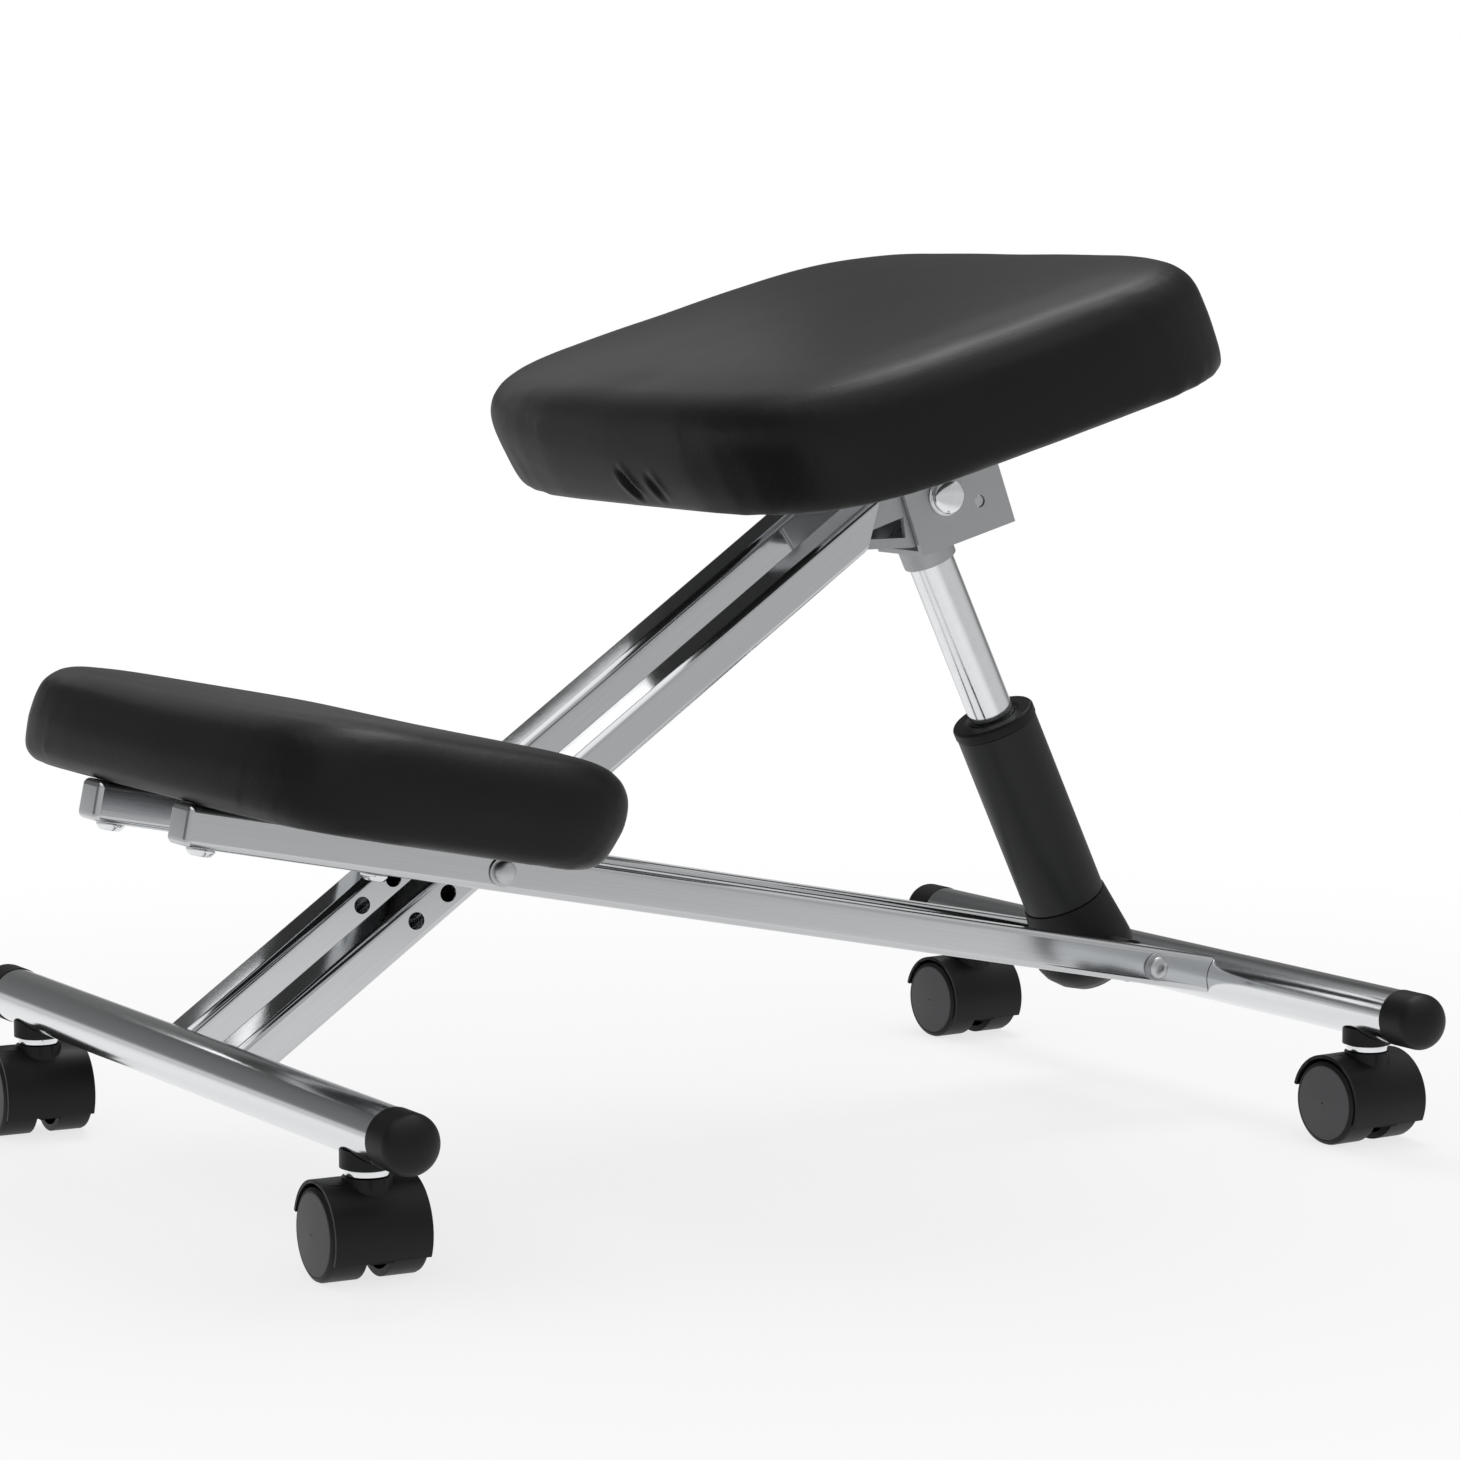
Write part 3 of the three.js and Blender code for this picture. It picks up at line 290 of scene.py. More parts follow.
def brushed(name, tilt):
    """Satin steel, brushed along a tube that lies in the side view at a tilt from Y."""
    material, tree, shader = start_material(name, Metallic=1.0, Anisotropic=0.2)
    place = add_node(tree, "ShaderNodeTexCoord").outputs["Object"]
    along = add_node(tree, "ShaderNodeMapping", {"Vector": place, "Rotation": (-tilt, 0, 0)},
                     vector_type="POINT")
    strokes = add_node(tree, "ShaderNodeMapping",
                       {"Vector": along.outputs[0], "Scale": (1400, 14, 1400)})
    lines = add_node(tree, "ShaderNodeTexNoise",
                     {"Vector": strokes.outputs[0], "Scale": 1.0, "Detail": 3.0})
    handling = add_node(tree, "ShaderNodeTexNoise",
                        {"Vector": place, "Scale": 18.0, "Detail": 4.0})
    shade = add_node(tree, "ShaderNodeMix", {"Factor": lines.outputs["Fac"], "A": linear("#C2C4C6"),
                                             "B": linear("#CDCFD1")}, data_type="RGBA")
    gloss = add_node(tree, "ShaderNodeMapRange",
                     {"Value": handling.outputs["Fac"], "To Min": 0.07, "To Max": 0.17})
    bump = add_node(tree, "ShaderNodeBump",
                    {"Height": lines.outputs["Fac"], "Strength": 0.12, "Distance": 0.00005})
    tree.links.new(shade.outputs["Result"], shader.inputs["Base Color"])
    tree.links.new(gloss.outputs[0], shader.inputs["Roughness"])
    tree.links.new(bump.outputs[0], shader.inputs["Normal"])
    return material


brushed_rail = brushed("brushed steel of the rails", -RAIL_FALL)
for side, way in (("left", 1), ("right", -1)):
    rail = tube_bar(RAIL_NOSE, RAIL_END)
    combine(rail, tube_bar(RAIL_NOSE + NOSE_PLATE, RAIL_END + TUBE_CUT, TUBE_WALL))
    combine(rail, rod(BAR_RADIUS + GAP, -TUBE_CUT, TUBE_CUT, (RAIL_END, 0), "X"))
    for along in (0, LIFT_ALONG):
        combine(rail, rod(BOLT_HOLE, -TUBE_CUT, TUBE_CUT, (along, 0), "X", 48))
    for along in KNEE_BOLTS_ALONG:
        combine(rail, rod(KNEE_BOLT_HOLE, -TUBE_CUT, TUBE_CUT, (0, along), "Z", 32))
    soften(rail, STEEL_EDGE, 2, 40)
    lay(rail, PIVOT + Vector((way * RAIL_X, 0, 0)), -RAIL_FALL)
    fit(rail, f"{side}_rail_tube", brushed_rail, "brushed_tube", "knee_frame", f"{side}_rail")

# The struts are the same tube, between the rails. Each is coped to the front bar, drilled for two
# spare height positions, and cut off at a slant where the yoke begins.
BAR_ALONG, BAR_OVER = 0.1882, 0.0055
STRUT_RISE = (asin((PIVOT.z - BAR_HEIGHT) / hypot(BAR_ALONG, BAR_OVER))
              + atan2(BAR_OVER, BAR_ALONG))
STRUT_X, STRUT_FOOT, BORE_FOOT, BORE_OVERRUN = 0.0338, -0.1842, -0.21, 0.03
SPARE_HOLE, SPARE_HOLES_ALONG = 0.005, (-0.0245, -0.049)
SEAT_PIVOT = Vector((0, 0.156555, 0.378761))
along_strut = ((SEAT_PIVOT - PIVOT).y * cos(STRUT_RISE)
               + (SEAT_PIVOT - PIVOT).z * sin(STRUT_RISE))
MITRE_LOW, MITRE_HIGH = along_strut - 0.0747, along_strut - 0.0467
MITRE_SLANT = atan2(MITRE_HIGH - MITRE_LOW, TUBE_HEIGHT)
SAW_SIZE = (0.05, 0.1, 0.1)
brushed_strut = brushed("brushed steel of the struts", STRUT_RISE)
for side, way in (("left", 1), ("right", -1)):
    strut = tube_bar(STRUT_FOOT, MITRE_HIGH + OVERRUN)
    combine(strut, tube_bar(BORE_FOOT, MITRE_HIGH + BORE_OVERRUN, TUBE_WALL))
    combine(strut, rod(BAR_RADIUS + GAP, -TUBE_CUT, TUBE_CUT, (-BAR_ALONG, BAR_OVER), "X"))
    combine(strut, rod(BOLT_HOLE, -TUBE_CUT, TUBE_CUT, (0, 0), "X", 48))
    for along in SPARE_HOLES_ALONG:
        combine(strut, rod(SPARE_HOLE, -TUBE_CUT, TUBE_CUT, (along, 0), "X", 48))
    saw = block((0, SAW_SIZE[1] / 2, 0), SAW_SIZE)
    combine(strut, lay(saw, (0, (MITRE_LOW + MITRE_HIGH) / 2, 0), -MITRE_SLANT))
    soften(strut, STEEL_EDGE, 2, 40)
    lay(strut, PIVOT + Vector((way * STRUT_X, 0, 0)), STRUT_RISE)
    fit(strut, f"{side}_strut_tube", brushed_strut, "brushed_tube", "strut_frame", f"{side}_strut")


# The scissor pivot bolt and the lift foot bolt are zinc-plated flange bolts with a domed head on
# the sitter's left and a nut on the right. The spacer is a sleeve on the pivot bolt between the
# struts.
def plated(name, colours, roughness):
    """Zinc or chrome plate on turned steel, with the cloudy spots of plating."""
    material, tree, shader = start_material(name, Metallic=1.0)
    place = add_node(tree, "ShaderNodeTexCoord").outputs["Object"]
    clouds = add_node(tree, "ShaderNodeTexNoise",
                      {"Vector": place, "Scale": 160.0, "Detail": 5.0})
    shade = add_node(tree, "ShaderNodeMix",
                     {"Factor": clouds.outputs["Fac"], "A": linear(colours[0]),
                      "B": linear(colours[1])}, data_type="RGBA")
    gloss = add_node(tree, "ShaderNodeMapRange",
                     {"Value": clouds.outputs["Fac"], "To Min": roughness - 0.05,
                      "To Max": roughness + 0.08})
    tree.links.new(shade.outputs["Result"], shader.inputs["Base Color"])
    tree.links.new(gloss.outputs[0], shader.inputs["Roughness"])
    return material


def along_x(piece):
    """Turns a piece from Z to X, with its top to the sitter's left."""
    pick(piece)
    piece.rotation_euler = (0, pi / 2, 0)
    bpy.ops.object.transform_apply(location=True, rotation=True, scale=True)
    return piece


def sleeve(bore, radius, low, high, sides=96):
    """A plain bored cylinder along Z from low to high."""
    return turned([(bore, low), (radius, low), (radius, high), (bore, high), (bore, low)], sides)


FLANGE_TOP, NUT_TOP, NUT_SUNK = 0.0015, 0.007, 0.0006
CROWN_EDGE, CROWN_RISE, CROWN_STEPS = 0.45, 0.55, 8
KEY_RADIUS, KEY_DEPTH, KEY_CUT = 0.0024, 0.0026, 0.005


def bolt_through(half, shaft, flange, head, rise, socket):
    """A flange bolt along X with its head to +X and a hexagon nut at the far end."""
    seat, top = half + GAP, half + FLANGE_TOP
    crown = [(head * cos(pi / 2 * i / CROWN_STEPS),
              top + rise * (CROWN_EDGE + CROWN_RISE * sin(pi / 2 * i / CROWN_STEPS)))
             for i in range(CROWN_STEPS)]
    bolt = turned([(flange, -top), (flange, -seat), (shaft, -seat), (shaft, seat), (flange, seat),
                   (flange, top), (head, top)] + crown + [(TIP_RADIUS, top + rise)], 64)
    combine(bolt, rod(head, -top - NUT_TOP, -top + NUT_SUNK, sides=6), "UNION")
    if socket:
        combine(bolt, rod(KEY_RADIUS, top + rise - KEY_DEPTH, top + rise + KEY_CUT, sides=6))
    soften(bolt, 0.0003, 2, 40)
    return along_x(bolt)


zinc_plate = plated("zinc plate on steel", ("#B4B6B8", "#C8CACC"), 0.3)
STACK_HALF = RAIL_X + TUBE_WIDTH / 2
FRAME_BOLT = {"shaft": 0.005, "flange": 0.0085, "head": 0.0065, "rise": 0.0042}
pivot_bolt = lay(bolt_through(STACK_HALF, socket=False, **FRAME_BOLT), PIVOT)
fit(pivot_bolt, "scissor_bolt", zinc_plate, "zinc_steel", "knee_frame", "scissor_pivot_bolt")
LIFT_FOOT = Vector((0, 0.279683, 0.090203))
foot_bolt = lay(bolt_through(STACK_HALF, socket=True, **FRAME_BOLT), LIFT_FOOT)
fit(foot_bolt, "lift_bolt", zinc_plate, "zinc_steel", "knee_frame", "lift_foot_bolt")
SPACER_RADIUS, SPACER_REACH = 0.008, STRUT_X - TUBE_WIDTH / 2 - GAP
spacer = sleeve(BOLT_HOLE, SPACER_RADIUS, -SPACER_REACH, SPACER_REACH, 64)
soften(spacer, STEEL_EDGE, 2)
lay(along_x(spacer), PIVOT)
fit(spacer, "scissor_spacer", zinc_plate, "zinc_steel", "knee_frame", "pivot_spacer")


# Each caster has a socket collar under the bar, a plated swivel stem with its ring, a nylon hood
# with a web between two wheels, and an axle. The wheels are hard nylon with a smooth face disc.
def recoat(node, material):
    """Gives its material to a solid that is shown as it is."""
    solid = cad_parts[node]
    solid.data.materials.clear()
    solid.data.materials.append(material)


black_nylon = moulded("black moulded nylon", "#0E0E0F", 0.45)
wheel_nylon = moulded("dark grey nylon of the wheel faces", "#525254", 0.5, 0.0008)
bright_chrome = plated("bright chrome plate", ("#E2E4E6", "#EEF0F2"), 0.1)
AXLE_HEIGHT, TRAIL, WEB_HALF, HOOD_HALF = 0.025, -0.006, 0.0064, 0.027
NECK_TOP, RING_TOP, NECK_RADIUS = 0.0545, 0.059, 0.0132
POCKET_RADIUS, HOOD_RADIUS = 0.0265, 0.0285
WEB_FLOOR, MOUTH_HEIGHT, MOUTH_TILT = 0.012, 0.0225, radians(20.5)
MOUTH_LENGTH, MOUTH_DEPTH, FLOOR_LENGTH, FLOOR_DEPTH = 0.2, 0.1, 0.08, 0.05
COLLAR_BORE, COLLAR_RADIUS, COLLAR_LOW, COLLAR_HIGH = 0.0058, 0.0145, -0.0197, -0.010
STEM_FOOT, STEM_RING, STEM_PIN, STEM_SUNK, STEM_LENGTH = 0.004, 0.012, 0.0055, 0.018, 0.026
CASTER_HOLE, STEM_HOLE_DEPTH, WHEEL_OUT = 0.0043, 0.0183, 0.007

collar = sleeve(COLLAR_BORE, COLLAR_RADIUS, COLLAR_LOW, COLLAR_HIGH)
combine(collar, rod(BAR_RADIUS + GAP, -CUTTER_REACH, CUTTER_REACH, axis="X"))
soften(collar, STEEL_EDGE, 2)
stem = turned([(STEM_FOOT, NECK_TOP - STEM_SUNK), (STEM_FOOT, NECK_TOP + GAP),
               (STEM_RING, NECK_TOP + GAP), (STEM_RING, RING_TOP), (STEM_PIN, RING_TOP),
               (STEM_PIN, RING_TOP + STEM_LENGTH)], 64)
soften(stem, 0.0008, 3)
hood = rod(HOOD_RADIUS, -HOOD_HALF, HOOD_HALF, (TRAIL, AXLE_HEIGHT), "Y", 128)
combine(hood, rod(NECK_RADIUS, AXLE_HEIGHT, NECK_TOP), "UNION")
for way in (1, -1):
    low, high = sorted((way * WEB_HALF, way * CUTTER_REACH))
    combine(hood, rod(POCKET_RADIUS, low, high, (TRAIL, AXLE_HEIGHT), "Y", 128))
    mouth = block((0, (low + high) / 2, -MOUTH_DEPTH / 2), (MOUTH_LENGTH, high - low, MOUTH_DEPTH))
    mouth.data.transform(Matrix.Translation((TRAIL, 0, MOUTH_HEIGHT))
                         @ Matrix.Rotation(MOUTH_TILT, 4, "Y"))
    combine(hood, mouth)
combine(hood, rod(CASTER_HOLE, -CUTTER_REACH, CUTTER_REACH, (TRAIL, AXLE_HEIGHT), "Y", 48))
combine(hood, rod(CASTER_HOLE, NECK_TOP - STEM_HOLE_DEPTH, NECK_TOP + OVERRUN, sides=48))
combine(hood, block((TRAIL, 0, WEB_FLOOR - FLOOR_DEPTH / 2),
                    (FLOOR_LENGTH, FLOOR_LENGTH, FLOOR_DEPTH)))
soften(hood, 0.0006, 3)
FACE_RADIUS, FACE_HEIGHT = 0.0219, 0.0206
wheel = turned([(0.0043, 0), (0.009, 0), (0.009, 0.007), (0.021, 0.007), (0.021, 0), (0.025, 0),
                (0.025, 0.0182), (0.0244, 0.0197), (0.0228, 0.0207), (0.0222, 0.0209),
                (FACE_RADIUS, FACE_HEIGHT), (0.0216, 0.0210), (0.012, 0.0219), (0.0005, 0.0222),
                (0.0005, 0.0136), (0.0043, 0.0136), (0.0043, 0)], 128)
soften(wheel, 0.0002, 2)
wheel.data.materials.append(black_nylon)
wheel.data.materials.append(wheel_nylon)
for face in wheel.data.polygons:
    disc = face.center.z > FACE_HEIGHT and hypot(face.center.x, face.center.y) < FACE_RADIUS
    face.material_index = 1 if disc else 0
CASTER_TURN = {"front": radians(-3), "rear": radians(3)}
for end, centre, half, body in CROSSBARS:
    for side, x in (("left", half - STEM_INSET), ("right", STEM_INSET - half)):
        caster = f"{end}_{side}_caster"
        swivel = (Matrix.Translation((x, centre.y, 0))
                  @ Matrix.Rotation(CASTER_TURN[end], 4, "Z"))
        part = copy_of(collar, f"{caster}_socket", Matrix.Translation((x, centre.y, BAR_HEIGHT)))
        fit(part, f"{caster}_socket", black_nylon, "black_plastic", body, f"{caster}_collar")
        part = copy_of(stem, f"{caster}_swivel_stem", swivel)
        fit(part, f"{caster}_swivel_stem", bright_chrome, "chrome", caster, f"{caster}_stem")
        part = copy_of(hood, f"{caster}_hood_shell", swivel)
        fit(part, f"{caster}_hood_shell", black_nylon, "black_plastic", caster, f"{caster}_hood")
        for face, way in (("rear", 1), ("front", -1)):
            hub = (Matrix.Translation((TRAIL, way * WHEEL_OUT, AXLE_HEIGHT))
                   @ Matrix.Rotation(-way * pi / 2, 4, "X"))
            part = copy_of(wheel, f"{caster}_{face}_roller", swivel @ hub)
            part.name = f"{caster}_{face}_roller"
            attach(part, f"{caster}_{face}_wheel")
            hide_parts(f"{caster}_{face}_wheel")
        recoat(f"{caster}_axle", zinc_plate)
for model in (collar, stem, hood, wheel):
    bpy.data.objects.remove(model)

# The gas lift stands on its foot bolt: a flared plastic shoe, a black painted outer tube with a
# rim bush, and the bright cylinder that slides in it. The piston rod and the valve pin are inside.
LIFT_LEAN = radians(25.3)
satin_black, tree, shader = start_material("satin black paint on steel",
                                           Base_Color=linear("#1A1B1C"), Specular_IOR_Level=0.3)
place = add_node(tree, "ShaderNodeTexCoord").outputs["Object"]
peel = add_node(tree, "ShaderNodeTexNoise", {"Vector": place, "Scale": 500.0, "Detail": 2.0})
bump = add_node(tree, "ShaderNodeBump",
                {"Height": peel.outputs["Fac"], "Strength": 0.08, "Distance": 0.0001})
scuffs = add_node(tree, "ShaderNodeTexNoise", {"Vector": place, "Scale": 30.0, "Detail": 6.0})
gloss = add_node(tree, "ShaderNodeMapRange",
                 {"Value": scuffs.outputs["Fac"], "To Min": 0.34, "To Max": 0.5})
tree.links.new(bump.outputs[0], shader.inputs["Normal"])
tree.links.new(gloss.outputs[0], shader.inputs["Roughness"])

SHOE_EYE, SHOE_EYE_HALF, SHOE_EYE_CUT = 0.013, 0.0476, 0.06
SHOE_POCKET, SHOE_POCKET_LOW, SHOE_POCKET_HIGH = 0.0235, 0.009, 0.05
shoe = turned([(0.014, -0.020), (0.0228, -0.0135), (0.0289, -0.006), (0.0313, 0.0),
               (0.0304, 0.008), (0.0262, 0.038)])
combine(shoe, rod(SHOE_EYE, -SHOE_EYE_HALF, SHOE_EYE_HALF, axis="X"), "UNION")
combine(shoe, rod(SHOE_POCKET, SHOE_POCKET_LOW, SHOE_POCKET_HIGH))
combine(shoe, rod(BOLT_HOLE, -SHOE_EYE_CUT, SHOE_EYE_CUT, axis="X", sides=48))
soften(shoe, 0.0006, 2, 40)
lay(shoe, LIFT_FOOT, LIFT_LEAN)
fit(shoe, "lift_foot_shoe", black_polyethylene, "black_plastic", "lift_base", "lift_shoe")
LIFT_EDGE = 0.0005
tube = turned([(0.0053, 0.0093), (0.0232, 0.0093), (0.0232, 0.0383), (0.0254, 0.0383),
               (0.0254, 0.1605), (0.0222, 0.1605), (0.0222, 0.0122), (0.0053, 0.0122),
               (0.0053, 0.0093)])
soften(tube, LIFT_EDGE, 2)
lay(tube, LIFT_FOOT, LIFT_LEAN)
fit(tube, "lift_sleeve", satin_black, "black_paint", "lift_base", "lift_outer_tube")
rim = turned([(0.0143, 0.1485), (0.0219, 0.1485), (0.0219, 0.1608), (0.026, 0.1608),
              (0.026, 0.166), (0.0249, 0.1675), (0.0175, 0.1675), (0.0165, 0.1663),
              (0.0143, 0.1663), (0.0143, 0.1485)])
soften(rim, LIFT_EDGE, 3)
lay(rim, LIFT_FOOT, LIFT_LEAN)
fit(rim, "lift_rim", black_nylon, "black_plastic", "lift_base", "lift_rim_bush")
cylinder = turned([(0.0053, 0.095), (0.014, 0.095), (0.014, 0.297), (0.0039, 0.297),
                   (0.0039, 0.290), (0.0126, 0.290), (0.0126, 0.102), (0.0053, 0.102),
                   (0.0053, 0.095)])
soften(cylinder, LIFT_EDGE, 2)
lay(cylinder, LIFT_FOOT, LIFT_LEAN)
fit(cylinder, "lift_chrome_cylinder", bright_chrome, "chrome", "seat", "lift_cylinder")
recoat("lift_piston_rod", zinc_plate)
recoat("lift_valve_pin", zinc_plate)

# The yoke joins the struts' upper ends, and the bracket is bolted under the seat. Both are welded
# from 3 mm plate and sprayed silver grey. One bolt with a wide, polished, domed head joins them.
silver_paint, tree, shader = start_material("silver grey paint on steel plate", Metallic=0.55,
                                            Roughness=0.4)
place = add_node(tree, "ShaderNodeTexCoord").outputs["Object"]
mist = add_node(tree, "ShaderNodeTexNoise", {"Vector": place, "Scale": 700.0, "Detail": 2.0})
shade = add_node(tree, "ShaderNodeMix", {"Factor": mist.outputs["Fac"], "A": linear("#AEB0B2"),
                                         "B": linear("#B8BABC")}, data_type="RGBA")
bump = add_node(tree, "ShaderNodeBump",
                {"Height": mist.outputs["Fac"], "Strength": 0.1, "Distance": 0.0001})
tree.links.new(shade.outputs["Result"], shader.inputs["Base Color"])
tree.links.new(bump.outputs[0], shader.inputs["Normal"])


def dressed(node, width, segments=2):
    """A copy of a solid with its triangles merged and its edges rounded."""
    piece = bpy.data.objects.new(node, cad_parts[node].data.copy())
    bpy.context.scene.collection.objects.link(piece)
    pick(piece)
    bpy.ops.object.mode_set(mode="EDIT")
    bpy.ops.mesh.select_all(action="SELECT")
    bpy.ops.mesh.remove_doubles(threshold=2e-6)
    bpy.ops.mesh.dissolve_limited(angle_limit=radians(0.5))
    bpy.ops.object.mode_set(mode="OBJECT")
    return soften(piece, width, segments, 40)


fit(dressed("strut_yoke", STEEL_EDGE), "strut_yoke_plates", silver_paint, "grey_paint",
    "strut_frame", "strut_yoke")
fit(dressed("seat_bracket", STEEL_EDGE), "seat_bracket_plates", silver_paint, "grey_paint",
    "seat", "seat_bracket")
PLATE_GAP, PLATE = 0.0008, 0.003
BRACKET_HALF = SPACER_REACH + PLATE_GAP + PLATE
SEAT_BOLT = {"shaft": 0.005, "flange": 0.012, "head": 0.0108, "rise": 0.0065}
seat_bolt = lay(bolt_through(BRACKET_HALF, socket=False, **SEAT_BOLT), SEAT_PIVOT)
fit(seat_bolt, "seat_hinge_bolt", bright_chrome, "polished_bar", "seat", "seat_pivot_bolt")

# The release lever is a bent zinc-plated rod through the bracket, with a paddle over the lift's
# valve pin and a black grip on its handle at the sitter's right.
fit(dressed("release_lever", 0.0003), "lever_rod", zinc_plate, "zinc_steel", "lever",
    "release_lever")
fit(dressed("lever_grip", 0.0008, 3), "lever_handle", black_polyethylene, "black_plastic",
    "lever", "lever_grip")

# The boards under the cushions are birch plywood, stained black. Four zinc-plated screws hold the
# bracket to the seat's board, and four chrome-plated bolts hold the rails to the knee board.
plywood, tree, shader = start_material("black-stained birch plywood", Roughness=0.62, IOR=1.5)
place = add_node(tree, "ShaderNodeTexCoord").outputs["Object"]
stretched = add_node(tree, "ShaderNodeMapping", {"Vector": place, "Scale": (6, 60, 60)})
grain = add_node(tree, "ShaderNodeTexNoise",
                 {"Vector": stretched.outputs[0], "Scale": 3.0, "Detail": 6.0, "Distortion": 0.6})
shade = add_node(tree, "ShaderNodeMix", {"Factor": grain.outputs["Fac"], "A": linear("#1B1917"),
                                         "B": linear("#262320")}, data_type="RGBA")
bump = add_node(tree, "ShaderNodeBump",
                {"Height": grain.outputs["Fac"], "Strength": 0.15, "Distance": 0.0002})
tree.links.new(shade.outputs["Result"], shader.inputs["Base Color"])
tree.links.new(bump.outputs[0], shader.inputs["Normal"])
BOARD_EDGE, SCREW_EDGE = 0.0006, 0.0005
for node, body in (("seat_board", "seat"), ("knee_board", "knee_frame")):
    fit(dressed(node, BOARD_EDGE), f"{node}_panel", plywood, "plywood", body, node)
for row in ("front", "rear"):
    for side in ("left", "right"):
        screw = f"seat_screw_{row}_{side}"
        fit(dressed(screw, SCREW_EDGE), f"{screw}_head", zinc_plate, "zinc_steel", "seat", screw)
        bolt = f"knee_bolt_{row}_{side}"
        fit(dressed(bolt, BOARD_EDGE), f"{bolt}_head", bright_chrome, "chrome", "knee_frame", bolt)

# The seat and knee cushions are foam on a board under one tight cover of black leatherette. The
# cover is drawn round the board's edge and stapled below, so the sides swell and the corners
# pull in.
leather, tree, shader = start_material("black leatherette", IOR=1.45, Specular_IOR_Level=0.2)
place = add_node(tree, "ShaderNodeTexCoord").outputs["Object"]
pores = add_node(tree, "ShaderNodeTexVoronoi", {"Vector": place, "Scale": 900.0},
                 feature="SMOOTH_F1")
creases = add_node(tree, "ShaderNodeTexNoise", {"Vector": place, "Scale": 260.0, "Detail": 5.0})
relief = add_node(tree, "ShaderNodeMath",
                  {0: pores.outputs["Distance"], 1: creases.outputs["Fac"]}, operation="ADD")
bump = add_node(tree, "ShaderNodeBump",
                {"Height": relief.outputs[0], "Strength": 0.22, "Distance": 0.0003})
patches = add_node(tree, "ShaderNodeTexNoise", {"Vector": place, "Scale": 12.0, "Detail": 4.0})
shade = add_node(tree, "ShaderNodeMix", {"Factor": patches.outputs["Fac"], "A": linear("#151515"),
                                         "B": linear("#191919")}, data_type="RGBA")
gloss = add_node(tree, "ShaderNodeMapRange",
                 {"Value": patches.outputs["Fac"], "To Min": 0.36, "To Max": 0.46})
tree.links.new(shade.outputs["Result"], shader.inputs["Base Color"])
tree.links.new(gloss.outputs[0], shader.inputs["Roughness"])
tree.links.new(bump.outputs[0], shader.inputs["Normal"])


def points_of(piece, field="co"):
    """The places or normals of a mesh's vertices, one row each."""
    rows = np.empty(len(piece.data.vertices) * 3)
    piece.data.vertices.foreach_get(field, rows)
    return rows.reshape(-1, 3)


def set_points(piece, rows):
    """Sets a mesh's vertices to their places, one row each."""
    piece.data.vertices.foreach_set("co", rows.ravel())
    piece.data.update()


def evened(piece, moves, rounds):
    """Spreads each vertex's move evenly among its neighbours, so that only broad swells stay."""
    edges = np.array([edge.vertices[:] for edge in piece.data.edges])
    shares = np.bincount(edges.ravel(), minlength=len(moves))[:, None] + 1
    for _ in range(rounds):
        total = moves.copy()
        np.add.at(total, edges[:, 0], moves[edges[:, 1]])
        np.add.at(total, edges[:, 1], moves[edges[:, 0]])
        moves = total / shares
    return moves


BOARD_GROWTH, OUTLINE_SPREAD = (1.01, 1.02, 1.2), 1.004
VOXEL, SETTLE_ROUNDS, EVEN_ROUNDS, RIM_ROUNDS = 0.0042, 3, 25, 8
HELD_BELOW, MOST_SWELL, LEAST_LENGTH = 0.004, 0.003, 1e-9
COVER_PRESSURE, COVER_TENSION, COVER_BENDING, COVER_STEPS = 4, 40, 20, 20


